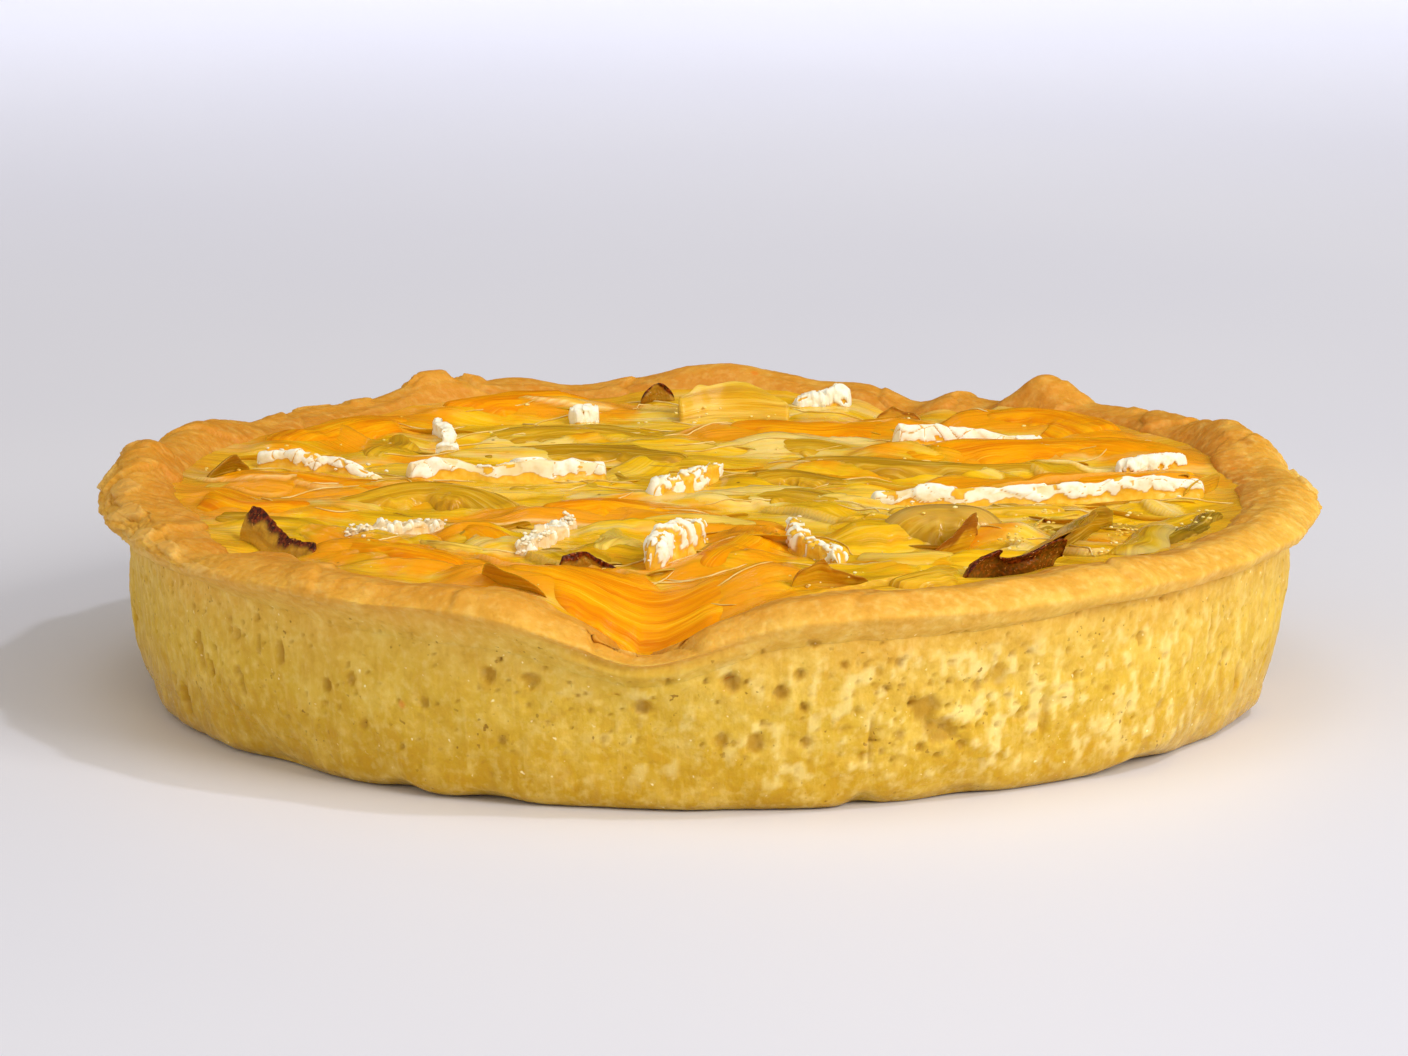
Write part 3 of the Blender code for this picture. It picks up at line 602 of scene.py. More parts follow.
def rim_relief(angle, over):
    """How far the rim stands out of its even form in mm, the painted shade in its crease lines,
    how flaky it is with painted highlight at its flakes' edges, and how toasted it is. over goes from 0 to
    1 round the section."""
    turn = np.radians(angle)
    x, y = RIM_MIDDLE * np.cos(turn), RIM_MIDDLE * np.sin(turn)
    w = over * RIM_ACROSS
    ragged = np.clip(waves_at(angle, RIM_RAGGED), 0, 1) * smoothstep(0.62, 0.42, over)
    relief = 0.26 * layered(x / 15, y / 15, w / 12, 41, 2) + 0.08 * billows(x / 5, y / 5, w / 4, 44)
    # painted shade: darker along the crease lines of the folds, in a thin ring just outside each flake and
    # in the cracks between plates
    crease_shade = np.zeros_like(angle)
    for at, width, height, slant in RIM_FOLDS:
        bend = 1.6 * billows(x / 8, y / 8, w / 5, 45)
        d = turned(angle, at + slant * (over - 0.45) + bend) / width
        body = smoothstep(-1, -0.12, d) * smoothstep(0.09, -0.04, d)
        relief += 0.7 * height * body * smoothstep(0.25, 0.45, over)
        crease = np.exp(-(((d - 0.09) / 0.04) ** 2)) * smoothstep(0.3, 0.5, over)
        relief -= 0.3 * height * crease
        crease_shade = np.maximum(crease_shade, 0.5 * crease)
    flake = np.zeros_like(angle)
    for number, (at, where, length, width, tilt, thick) in enumerate(RIM_FLAKES):
        ds = RIM_MIDDLE * np.radians(turned(angle, at))
        dw = w - where * RIM_ACROSS
        c, s = math.cos(math.radians(tilt)), math.sin(math.radians(tilt))
        p, q = (ds * c + dw * s) / length, (dw * c - ds * s) / width
        away = np.hypot(p, q) + 0.24 * layered(x / 2.6, y / 2.6, w / 2.6, 50 + number, 3)
        lies = smoothstep(1.0, 0.9, away)
        relief = relief * (1 - 0.6 * lies) + 0.95 * thick * lies * (0.65 + 0.35 * p)
        # flakes are paler than the rim, and paler still toward their edges as painted highlight
        flake = np.maximum(flake * (1 - lies), lies * (0.6 + 0.4 * smoothstep(0.6, 0.9, away)))
        crease_shade = np.maximum(crease_shade * (1 - lies), 0.6 * np.exp(-(((away - 1.05) / 0.05) ** 2)))
    s = RIM_MIDDLE * np.radians((angle - 90) % 360)
    bend = 0.8 * billows(x / 4, y / 4, w / 4, 46)
    plate, inside = facets((s + bend) / 2.2, w + bend, 3.0, 47)
    bare = ragged * (1 - np.minimum(flake, 1))
    relief += bare * (0.42 * plate - 0.35 * smoothstep(0.10, 0.02, inside))
    crease_shade = np.maximum(crease_shade, 0.45 * bare * smoothstep(0.09, 0.03, inside))
    flake = np.maximum(flake, 0.8 * bare * smoothstep(0.1, 0.6, plate))
    relief += (0.04 + 0.10 * ragged) * layered(x / 1.4, y / 1.4, w / 1.2, 48, 2)
    bristle = layered(x / 1.0, y / 1.0, w / 7.0, 49, 2)
    folded = np.clip(waves_at(angle, RIM_FOLDED), 0, 1)
    relief += (0.05 + 0.11 * folded) * bristle
    grain = layered(x / 1.6, y / 1.6, w / 1.6, 38, 2)
    on_top = smoothstep(0.34, 0.44, over) * smoothstep(0.68, 0.56, over)
    for at, half, height in RIM_LUMPS:
        d = np.abs(turned(angle, at)) / half + 0.35 * grain
        relief += height * smoothstep(1.15, 0.6, d) * on_top
    toast = np.zeros_like(angle)
    for at, where, length, width, share in RIM_TOASTS:
        ds = RIM_MIDDLE * np.radians(turned(angle, at))
        away = np.hypot(ds / length, (w - where * RIM_ACROSS) / width)
        toast = np.maximum(toast, share * smoothstep(1.2, 0.5, away + 0.4 * grain))
    # the low frayed lip at the far right
    frayed = np.exp(-((turned(angle, 354.5) / 3.5) ** 2)) * np.exp(-(((over - 0.33) / 0.10) ** 2))
    relief += 0.9 * frayed * layered(s / 1.3, w / 2.5, 0.0, 39, 2)
    return relief, crease_shade, np.minimum(flake, 1), toast


def rim_place(u, v):
    """The rim over the wall: u goes round the tart, v round the section."""
    angle = 360 * u
    turn = np.radians(angle)
    crest, lip, out = crest_height(angle), lip_height(angle), lip_radius(angle)
    edge, flap = custard_edge(angle), flap_radius(angle)
    out = np.minimum(out, RIM_WIDEST) - 0.5
    tall = crest - lip
    melt = np.clip(waves_at(angle, RIM_MELTS), 0, 1)
    section = (
        (WALL_RADIUS - 1.0, lip - 4.8),
        (WALL_RADIUS - 0.55, lip - 4.2 * melt - 0.6),
        (WALL_RADIUS + 0.25 + 0.5 * melt, lip - 2.6 * melt - 0.35),
        (WALL_RADIUS + 1.9 - 0.2 * melt, lip - 1.0 * melt - 0.25),
        (out - 0.9 - 0.3 * melt, lip + 0.35 + 0.3 * melt),
        (out - 0.1, lip + 0.3 * tall + 0.4),
        (out - 1.4, lip + 0.62 * tall),
        (out - 3.6, lip + 0.88 * tall),
        (CREST_RADIUS, crest - 0.3),
        (90.4, crest - 0.7),
        (89.0, edge + 0.62 * (crest - edge)),
        (flap + 0.6, edge + 0.3 * (crest - edge) + 0.2),
        (flap - 0.7, edge + 0.05),
        (flap - 0.5, edge - 1.3),
        (90.6, edge - 1.6),
    )
    rows = np.cumsum((0,) + RIM_STEPS)
    last = len(rows) - 1
    t = np.interp(v * rows[-1], rows, np.arange(len(rows)))
    radius, z = through([p[0] for p in section], t), through([p[1] for p in section], t)
    ahead = np.minimum(t + 0.02, last)
    dr = through([p[0] for p in section], ahead) - radius
    dz = through([p[1] for p in section], ahead) - z
    size = np.maximum(np.hypot(dr, dz), 1e-9)
    over = np.clip((t - 1.0) / (last - 2.0), 0, 1)
    relief, crease_shade, flake, toast = rim_relief(angle, over)
    shows = smoothstep(2.4, 4.0, t) * smoothstep(last - 1.2, last - 2.4, t)
    under, hollow_shade, curd = wall_relief(angle, z)
    relief = relief * shows + under * smoothstep(3.4, 1.6, t)
    radius = radius + dz / size * relief
    z = z - dr / size * relief
    closing = v > 1 - 0.5 / rows[-1]
    radius, z = np.where(closing, WALL_RADIUS - 1.0, radius), np.where(closing, lip - 4.8, z)
    z = np.minimum(z, CAD_BOX[1][2] / MM - 0.05)
    marks = dict(
        # painted shade in the rim's crease lines and in the pores of the wall under it
        hollow_shade=np.maximum(0.8 * crease_shade * shows, hollow_shade * smoothstep(3.4, 1.6, t)),
        curd=curd * smoothstep(3.4, 1.6, t),
        flake=flake * shows,
        toast=toast * shows,
        raised=relief * shows,
        level=np.where(t < 4, z / LIP_HEIGHT, 1.0 + 0.5 * smoothstep(0.2, 0.9, over)),
    )
    return (radius * np.cos(turn), radius * np.sin(turn), z), marks


# Custard
CUSTARD_CELLS = 312
CUSTARD_SIDES = ((86.0 - 0.3, 16.0), (INNER_FOOT_RADIUS - 0.3, 8.3), (INNER_FOOT_RADIUS - 3.3, 5.3))
# Layers of leek under the custard's skin that the photo shows: middle, heading in degrees, half
# length and half width, how far one edge stands up, which edge (-1 is the front one), tone from
# olive to straw, and how much orange shines through
LAYERS_SEEN = (
    (-16, -36, 4, 13, 8.0, 0.7, -1, 0.66, 0.0), (-29, 52, 0, 19, 8.0, 0.5, -1, 0.45, 0.0),
    (-10, 47, 5, 9, 6.0, 0.6, 1, 0.55, 0.2), (22, -44, 3, 12, 7.5, 0.8, -1, 0.55, 0.0),
    (27, 29, -22, 13, 5.0, 1.0, -1, 0.85, 0.0), (40, 14, -32, 10, 4.0, 0.9, -1, 0.80, 0.1),
    (-64, -17, 8, 12, 5.0, 0.9, -1, 0.86, 0.0), (-42, 0, 0, 16, 6.5, 1.0, 1, 0.72, 0.0),
    (52, -18, 12, 10, 4.5, 1.0, -1, 0.20, 0.0), (62, -33, 30, 9, 5.0, 1.1, -1, 0.22, 0.0),
    (73, -28, 40, 7, 3.4, 0.9, -1, 0.25, 0.0), (-70, 6, 10, 12, 7.0, 0.6, 1, 0.60, 0.6),
    (-77, -17, -35, 9, 5.0, 0.5, 1, 0.70, 0.8), (-11, 20, 50, 9, 5.0, 0.8, -1, 0.62, 0.2),
    (2, -30, -10, 11, 4.0, 0.8, -1, 0.70, 0.5), (-47, -66, -14, 14, 4.5, 0.7, -1, 0.55, 0.3),
    (46, -58, 18, 10, 5.0, 0.9, -1, 0.50, 0.0), (20, -66, 8, 12, 4.0, 0.8, -1, 0.30, 0.0),
    (60, 40, -20, 12, 6.0, 0.5, 1, 0.50, 0.9), (20, 62, -8, 14, 6.0, 0.6, 1, 0.45, 0.3),
)
LAYERS_UNSEEN = 80
# How far out from the middle scattered things start, in mm
SCATTER_RADIUS = 80


def fine_line(spine, count=33):
    """Points evenly stepped along the smooth curve through the spine's points."""
    t = np.linspace(0, len(spine) - 1, count)
    return np.stack([through([float(p[k]) for p in spine], t) for k in (0, 1)], axis=1)


def nearness(x, y, forms, reach):
    """1 on the middle lines of these pieces, and 0 further off than their half width and reach."""
    near = np.zeros_like(x)
    for form in forms.values():
        for px, py in fine_line(form["spine"], 9):
            away = np.hypot(x - px, y - py) / (0.5 * form.get("width", 4.0) + reach)
            near = np.maximum(near, smoothstep(1.0, 0.35, away))
    return near


def swell(x, y):
    """How far the custard's skin is drawn up over the pumpkin and leek that lie in it, in mm."""
    rise = np.zeros_like(x)
    for forms, share, spread in ((SLICES, 0.42, 1.35), (RIBBONS, 0.45, 1.15)):
        for form in forms.values():
            line = fine_line(form["spine"], 15)
            middle, reach = line.mean(axis=0), form["width"] * 0.5 * spread + 1.6
            far = np.linalg.norm(line - middle, axis=1).max() + reach
            close = np.hypot(x - middle[0], y - middle[1]) < far
            dx = x[close][:, None] - line[None, :, 0]
            dy = y[close][:, None] - line[None, :, 1]
            away = np.hypot(dx, dy).min(axis=1) / reach
            bump = share * form["thick"] * smoothstep(1.0, 0.25, away)
            rise[close] = np.maximum(rise[close], bump)
    return rise


def leek_layers():
    """All layers of leek under the skin, from the lowest to the highest."""
    rng = np.random.default_rng(12)
    made = []
    for _ in range(LAYERS_UNSEEN):
        radius, around = SCATTER_RADIUS * math.sqrt(rng.random()), rng.uniform(0, 2 * math.pi)
        heading = rng.normal(0, 24)
        long, wide, lift = rng.uniform(6, 18), rng.uniform(2.4, 6.5), rng.uniform(0.4, 1.25)
        side = -1 if rng.random() < 0.6 else 1
        tone, shine = rng.uniform(0.25, 1.05), max(0.0, rng.uniform(-1.2, 0.9))
        x, y = radius * math.cos(around), radius * math.sin(around)
        made.append((x, y, heading, long, wide, lift, side, tone, shine))
    return made + list(LAYERS_SEEN)


def custard_relief(x, y):
    """The custard's unevenness in mm over layers of leek, and the marks its finish reads."""
    inner = smoothstep(87, 78, np.hypot(x, y))
    height = 0.38 * layered(x / 13, y / 6, 1.0, 61, 2)
    marks = dict(
        along=x + 3 * billows(x / 20, y / 20, 0.0, 62),
        across=y + 4 * billows(x / 24, y / 16, 5.0, 63),
        tone=0.62 + 0.32 * layered(x / 16, y / 8, 3.0, 64, 2),
        shine=0.15 + 0.3 * billows(x / 20, y / 12, 4.0, 65),
        fold=np.zeros_like(x),
        gap_and_painted_shadow=np.zeros_like(x),
    )
    for number, (cx, cy, heading, long, wide, lift, side, tone, shine) in enumerate(leek_layers()):
        c, s = math.cos(math.radians(heading)), math.sin(math.radians(heading))
        inside = np.hypot(x - cx, y - cy) < max(long, wide) * 1.25
        dx, dy = x[inside] - cx, y[inside] - cy
        p, q = dx * c + dy * s, dy * c - dx * s
        q = q + 0.18 * wide * billows(p / 5, number * 7.3, 0.0, 66)
        q = q + 0.25 * billows(p / 1.4, number * 3.1, 0.0, 67)
        a = np.clip(p / long, -1, 1)
        reach = wide * np.sqrt(1 - a * a) * (1 + 0.2 * billows(p / 6, number * 5.7, 1.0, 68)) + 1e-6
        across = q / reach * -side
        front = (1 - across) * reach
        mask = smoothstep(-1.0, -0.55, across) * smoothstep(-0.05, 0.5, front) * (np.abs(p) < long)
        rise = lift * smoothstep(-0.9, 0.95, across) * (1 - a**4) * np.minimum(1, reach / 2)
        ribs = 0.08 * layered(p / 10, q / 1.1, number, 69, 2)
        height[inside] += mask * (rise - 0.35 * height[inside] + ribs - 0.1)
        # painted highlight: a pale line along the raised edge of each layer
        line = np.exp(-(((front - 0.45) / 0.3) ** 2)) * (1 - a**4) * (np.abs(p) < long)
        line = line * ((number * 37) % 100) / 100
        marks["fold"][inside] = np.maximum(marks["fold"][inside] * (1 - mask), line)
        # painted shadow: a dark band on the custard just in front of each raised edge
        gap_and_painted_shadow = np.exp(-(((front + 0.5) / 0.5) ** 2)) * (1 - a**4) * (np.abs(p) < long) * min(1.0, lift)
        marks["gap_and_painted_shadow"][inside] = np.maximum(marks["gap_and_painted_shadow"][inside] * (1 - mask), gap_and_painted_shadow * (1 - mask))
        new = dict(tone=tone, shine=shine, along=p + 70 * number, across=q + 90 * number)
        for key, value in new.items():
            blend = mask * 0.85 if key in ("tone", "shine") else (mask > 0.5)
            marks[key][inside] = marks[key][inside] * (1 - blend) + value * blend
    height += 0.035 * layered(x / 1.5, y / 0.9, 3.0, 70, 2)
    return (height + swell(x, y)) * inner, marks


def custard_place(u, v):
    """The custard's top: u and v go across a square that is rounded into its disc."""
    a, b = 2 * u - 1, 2 * v - 1
    x = (INNER_RADIUS - 0.3) * a * np.sqrt(1 - b * b / 2)
    y = (INNER_RADIUS - 0.3) * b * np.sqrt(1 - a * a / 2)
    relief, marks = custard_relief(x, y)
    z = custard_height(x, y) + relief + 0.35 * smoothstep(83, 87, np.hypot(x, y))
    marks["orange"] = nearness(x, y, SLICES, 7.5)
    marks["milky"] = nearness(x, y, CHEESES, 3.0)
    marks["edge"] = smoothstep(78, 87, np.hypot(x, y))
    return (x, y, z), marks


def make_custard(finish):
    """The custard's surface, with its sides drawn down from the edge and its underside filled."""
    piece = grid("custard_filling_baked", CUSTARD_CELLS, CUSTARD_CELLS, custard_place)
    bpy.ops.object.mode_set(mode="EDIT")
    bpy.ops.mesh.select_mode(type="EDGE")
    bpy.ops.mesh.select_all(action="DESELECT")
    bpy.ops.mesh.select_non_manifold(extend=False)
    for radius, z in CUSTARD_SIDES:
        bpy.ops.mesh.extrude_region_move()
        bpy.ops.object.mode_set(mode="OBJECT")
        chosen = [vertex for vertex in piece.data.vertices if vertex.select]
        for vertex in chosen:
            around = math.atan2(vertex.co.y, vertex.co.x)
            vertex.co = Vector((radius * math.cos(around), radius * math.sin(around), z)) * MM
        bpy.ops.object.mode_set(mode="EDIT")
    bpy.ops.mesh.edge_face_add()
    bpy.ops.mesh.select_mode(type="VERT")
    bpy.ops.object.mode_set(mode="OBJECT")
    seal(piece)
    return finish_piece(piece, finish, ["custard_filling"])


# Toppings
GAP = 0.3  # between pieces that touch, as in the part
# Closed sections of a laid piece, as share across, where -1 is its front, and share of its
# height. They start at the back and go under the piece first.
SOFT_SECTION = tuple(
    (math.cos(a), max(0.0, -math.sin(a)) ** 1.4) for a in np.linspace(0, 2 * math.pi, 25)
)
CHEESE_SECTION = (
    (1.0, 0.0), (0.2, -0.05), (-0.9, -0.05), (-1.3, 0.06), (-1.13, 0.24), (-1.0, 0.48), (-0.95, 0.8),
    (-0.86, 0.98), (-0.68, 0.98), (-0.45, 0.78), (-0.1, 0.56), (0.4, 0.4), (0.85, 0.18), (1.0, 0.0),
)
RIND_SECTION = (
    (1.0, 0.0), (0.0, -0.05), (-1.05, -0.05), (-1.25, 0.12), (-1.0, 0.45), (-0.9, 0.85), (-0.6, 1.0),
    (0.0, 1.02), (0.6, 0.95), (0.95, 0.6), (1.0, 0.0),
)


def spine_at(spine, u):
    """Places and left-hand directions along a spine, and its length."""
    line = fine_line(spine)
    steps = np.linalg.norm(np.diff(line, axis=0), axis=1)
    share = np.concatenate(([0], np.cumsum(steps))) / steps.sum()
    ahead = np.gradient(line, axis=0)
    ahead /= np.linalg.norm(ahead, axis=1)[:, None]
    x, y = (np.interp(u, share, line[:, k]) for k in (0, 1))
    tx, ty = (np.interp(u, share, ahead[:, k]) for k in (0, 1))
    return x, y, -ty, tx, steps.sum()


def closed_ends(u, reach):
    """0 at both ends of a piece and 1 further in than reach, rounded like a quarter circle."""
    from_end = np.minimum(u, 1 - u)
    return np.sqrt(np.clip(1 - np.clip(1 - from_end / reach, 0, 1) ** 2, 0, 1))


def crowded(u):
    """Moves the rows of a piece towards its ends, where it needs more of them."""
    return u + 0.6 * (0.5 - 0.5 * np.cos(np.pi * u) - u)


def lay(
    name, form, tone, seed, section, relief, along, around, ragged,
    blunt=0.35, end=0.06, sink=0.9, widen=1.0, flatten=1.0,
):
    """A piece that lies along its spine with its lower part sunk into the custard.

    blunt is its width at the ends as a share, end how much of its length they are rounded over,
    and ragged how uneven its outline is. widen and flatten spread it out as baking does. relief
    gives how far a point stands out, in mm, and marks.
    """
    rise = form.get("rise", (1, 1))
    whole = len(section) - 1
    half, tall = 0.5 * form["width"] * widen, form["thick"] * flatten
    sides = zip(section, section[1:])
    steps = [math.hypot((b[0] - a[0]) * half, (b[1] - a[1]) * tall) for a, b in sides]
    round_at = np.concatenate(([0], np.cumsum(steps)))

    def place(u, v):
        u = crowded(u)
        v = np.where(v > 1 - 0.5 / around, 0.0, v)
        t = v * whole
        across, up = (through([p[k] for p in section], t) for k in (0, 1))
        ahead = np.minimum(t + 0.05, whole)
        d_across = (through([p[0] for p in section], ahead) - across) * half
        d_up = (through([p[1] for p in section], ahead) - up) * tall
        size = np.maximum(np.hypot(d_across, d_up), 1e-6)
        x, y, side_x, side_y, length = spine_at(form["spine"], u)
        mm = u * length
        stub = form.get("blunt", blunt)
        full = stub + (1 - stub) * np.sin(np.pi * np.clip(u, 0, 1)) ** 0.6
        ends = closed_ends(u, form.get("end", end))
        outline = 1 + form.get("even", ragged) * layered(mm / 5, np.sign(across) * 3, seed * 1.7, 70, 3)
        reach = half * across * full * ends * outline
        height = 0.25 + tall * through([float(r) for r in rise], np.clip(u, 0, 1) * (len(rise) - 1))
        height = height * (0.4 + 0.6 * full)
        out, marks = relief(form, u, across, up, mm, np.interp(t, np.arange(whole + 1), round_at), seed)
        out = out * ends * smoothstep(0.02, 0.2, up)
        reach = reach - d_up / size * out
        x, y = x + side_x * reach, y + side_y * reach
        z = custard_height(x, y) - sink + (height + sink) * (0.3 + 0.7 * ends) * up
        z = z + d_across / size * out
        grain = form.get("grain", 1.0) * reach
        return (x, y, z), dict(marks, along=mm + 60 * seed, across=grain + 40 * seed, tone=tone)

    return seal(grid(name, along, around, place))


def stand(name, form, tone, seed, along=44, around=30, thickness=1.5, sink=1.2):
    """A thin piece that stands on its spine and bends over to one side."""

    def place(u, v):
        u = crowded(u)
        v = np.where(v > 1 - 0.5 / around, 0.0, v)
        turn = 2 * np.pi * v
        up = 0.5 + 0.5 * np.cos(turn)
        x, y, side_x, side_y, length = spine_at(form["spine"], u)
        mm = u * length
        rise = form["rise"]
        tall = form["thick"] * through([float(r) for r in rise], u * (len(rise) - 1))
        ends = closed_ends(u, form.get("end", 0.12))
        tall = tall * (1 + 0.12 * billows(mm / 2.2, 0.0, seed * 2.3, 73)) + sink
        tall = tall * (0.5 + 0.5 * ends)
        curl = form["curl"]
        bend = curl * up * (1 + 0.25 * billows(mm / 6, up, seed * 1.1, 74))
        tilt = form.get("tilt", 0.0)
        out = form["lean"] * tall / curl * (math.cos(tilt) - np.cos(bend + tilt))
        height = tall / curl * (np.sin(bend + tilt) - math.sin(tilt))
        thick = thickness * ends * (1 - 0.7 * up) * (1 + 0.3 * billows(mm / 3, up * 2, seed, 75))
        waves = form.get("waves", 0.5) * billows(mm / 4, up * 1.5, seed * 3.1, 76) * up
        flake = form["char"] * 0.28 * layered(mm / 0.9, up * tall / 0.9, seed, 77, 2) * up
        off = out + 0.5 * thick * np.sin(turn) + waves * ends + flake
        x, y = x + side_x * off, y + side_y * off
        z = custard_height(x, y) - sink + GAP + height + 0.5 * thick * np.sin(turn) * np.sin(bend)
        edge = form.get("edge", 0.74)
        edge = smoothstep(edge, edge + 0.18, up + 0.14 * layered(mm / 2.5, 0.0, seed, 78, 2))
        mask = np.clip(form["char"] * edge + form.get("burnt", 0.0), 0, 1)
        skin = smoothstep(0.7, 0.95, up + 0.1 * billows(mm / 2, 0.0, seed, 79))
        marks = dict(along=mm + 60 * seed, across=up * tall + 40 * seed, tone=tone, mask=mask)
        return (x, y, z), dict(marks, pale=form.get("pale", 0.12) * skin * (1 - mask))

    return seal(grid(name, along, around, place))


def pumpkin_grain(form, u, across, up, mm, round_mm, seed):
    """Soft fibres along the slice and a few splits."""
    relief = 0.20 * layered(mm / 9, round_mm / 4.0, seed, 80, 2)
    relief += 0.07 * layered(mm / 9, round_mm / 0.8, seed, 82, 2)
    split = smoothstep(0.93, 1.0, 1 - np.abs(billows(mm / 14, round_mm / 2.2, seed, 84)))
    return relief - 0.2 * split, {}


def leek_folds(form, u, across, up, mm, round_mm, seed):
    """Long pleats with fibres on them, and a lifted edge."""
    bend = 1.4 * billows(mm / 8, 0.0, seed, 86)
    relief = 0.30 * form.get("pleats", 1.0) * layered(mm / 13, (round_mm + bend) / 2.7, seed, 87, 2)
    relief += 0.06 * layered(mm / 10, round_mm / 0.6, seed, 89, 1)
    lifted = smoothstep(-0.35, -0.62, across) * smoothstep(-1.0, -0.8, across)
    relief += 0.5 * lifted * smoothstep(-0.2, 0.3, billows(mm / 6, 0.0, seed, 90))
    skin = smoothstep(0.55, 0.95, up + 0.2 * billows(mm / 4, round_mm / 2, seed, 91))
    skin = form.get("pale", 0.0) * skin
    return relief, dict(mask=0.25 * skin, pale=skin)


def rind_of_slice(form, u, across, up, mm, round_mm, seed):
    """The white rind covers the ridge at the front of the slice, above a golden melted foot."""
    foot = round_mm - form["width"] * 1.15 - 0.62 * form["thick"]
    wander = 0.55 * layered(mm / 3.0, 0.0, seed, 92, 3)
    lower = smoothstep(-0.1, 0.3, foot + wander + 0.3 * layered(mm / 1.0, round_mm, seed, 93, 1))
    upper = smoothstep(-0.40, -0.62, across + 0.25 * layered(mm / 2.2, 0.0, seed, 94, 2))
    rind = np.where(across < -0.84, lower, upper)
    missing = smoothstep(0.60, 0.72, layered(mm / 3.6, round_mm / 1.8, seed, 95, 3))
    bend = 0.7 * billows(mm / 2.5, round_mm / 2.5, seed, 99)
    plate, inside = facets((mm + bend) / 1.6, round_mm + bend, 2.4, seed)
    rind = rind * (1 - missing) * (1 - 0.8 * smoothstep(0.07, 0.02, inside) * (plate > -0.3))
    crest = 0.38 * layered(mm / 4.5, 0.0, seed, 96, 3) * smoothstep(0.55, 0.95, up)
    relief = rind * (0.16 + 0.26 * plate) + crest
    relief += 0.05 * layered(mm / 2.6, round_mm / 1.6, seed, 98, 2)
    return relief, dict(mask=rind, plate=0.5 + 0.5 * plate)


def rind_plates(form, u, across, up, mm, round_mm, seed):
    """The white rind on top has cracked into plates across the piece."""
    spot = u * form["plates"] + 0.45 * layered(mm / 3.0, across, seed, 100, 2)
    number = np.floor(spot)
    gap_and_painted_shadow = np.abs((spot + 0.5) % 1.0 - 0.5)
    width = 0.05 + 0.16 * chance(number, 1, seed, 102)
    plate = smoothstep(width, width + 0.10, gap_and_painted_shadow) if form["plates"] > 1 else np.ones_like(u)
    noisy = layered(mm / 1.6, round_mm / 1.2, seed, 101, 3)
    bare = smoothstep(0.9 - 1.5 * form["bare"], 1.05 - 1.5 * form["bare"], 0.5 + 0.5 * noisy)
    rind = plate * (1 - bare) * smoothstep(0.2, 0.45, up + 0.15 * noisy)
    tilt = chance(number, 0, seed, 103) - 0.5
    chip, inside = facets(mm, round_mm, 1.3, seed + 7)
    relief = 0.5 * rind - 0.25 + 1.0 * tilt * (across + 0.2) * plate
    relief += 0.9 * (chance(number, 2, seed, 104) - 0.6) * plate + 0.28 * chip
    relief += 0.08 * layered(mm / 0.9, round_mm / 0.8, seed, 105, 2)
    return relief, dict(mask=np.maximum(rind, form.get("cream", 0.0)), plate=0.62 + 0.4 * chip)


# Thin edges of leek that the photo shows; what the keys say is as in the table of standing leek
CURLS_SEEN = {
    "curl_beside_bulb": dict(
        spine=((32, -57), (37, -51), (41, -44)), thick=5.2, rise=(0.2, 0.5, 1, 0.75), curl=0.5,
        lean=-1, char=0.9, tone=0.62, edge=0.5,
    ),
    "curl_right_fold": dict(
        spine=((53, -52), (58, -42), (63, -31)), thick=5.2, rise=(0.3, 0.75, 1, 0.6), curl=0.6,
        lean=-1, char=0.25, tone=0.2,
    ),
    "curl_cheese_end": dict(
        spine=((76, -8), (79, -5), (82, 0)), thick=4.6, rise=(0.5, 0.9, 1, 0.6), curl=0.9, lean=-1,
        char=0.15, tone=0.75,
    ),
    "curl_notch_left": dict(
        spine=((-34, -72), (-30, -77), (-24, -80)), thick=4.2, rise=(0.3, 1, 0.7, 0.3), curl=0.8,
        lean=-1, char=0.2, tone=0.4,
    ),
    "curl_middle": dict(
        spine=((4, -44), (11, -46), (17, -43)), thick=3.0, rise=(0.4, 1, 0.8, 0.4), curl=1.1, lean=-1,
        char=0.0, tone=0.85,
    ),
}


def curl_forms(count, seed):
    """The edges of leek the photo shows and others like them, most of them at the right."""
    made = dict(CURLS_SEEN)
    rng = np.random.default_rng(seed)
    while len(made) < count:
        radius, around = 78 * math.sqrt(rng.random()), rng.uniform(0, 2 * math.pi)
        x, y = radius * math.cos(around), radius * math.sin(around)
        if len(made) % 3 == 0:
            x, y = rng.uniform(36, 74), rng.uniform(-50, -8)
        heading = rng.normal(0, 0.5)
        length, bow = rng.uniform(8, 20), rng.normal(0, 2.0)
        dx, dy = math.cos(heading), math.sin(heading)
        spine = tuple(
            (x + k * dx * length / 2 - b * dy, y + k * dy * length / 2 + b * dx)
            for k, b in ((-1, 0.0), (0, bow), (1, 0.0))
        )
        if max(math.hypot(*p) for p in spine) > 83:
            continue
        rise = tuple(rng.uniform(0.3, 1.0, 4))
        thick, curl = rng.uniform(0.7, 2.2), rng.uniform(0.9, 1.6)
        lean = -1 if rng.random() < 0.7 else 1
        char = 0.35 if rng.random() < 0.15 else 0.0
        tone = rng.uniform(0.2, 0.95)
        form = dict(spine=spine, thick=thick, rise=rise, curl=curl, lean=lean, char=char, tone=tone)
        made[f"curl_{len(made):02d}"] = form
    return made


def on_custard(x, y):
    """Height of the custard with its unevenness at these places."""
    return custard_height(x, y) + custard_relief(x, y)[0]


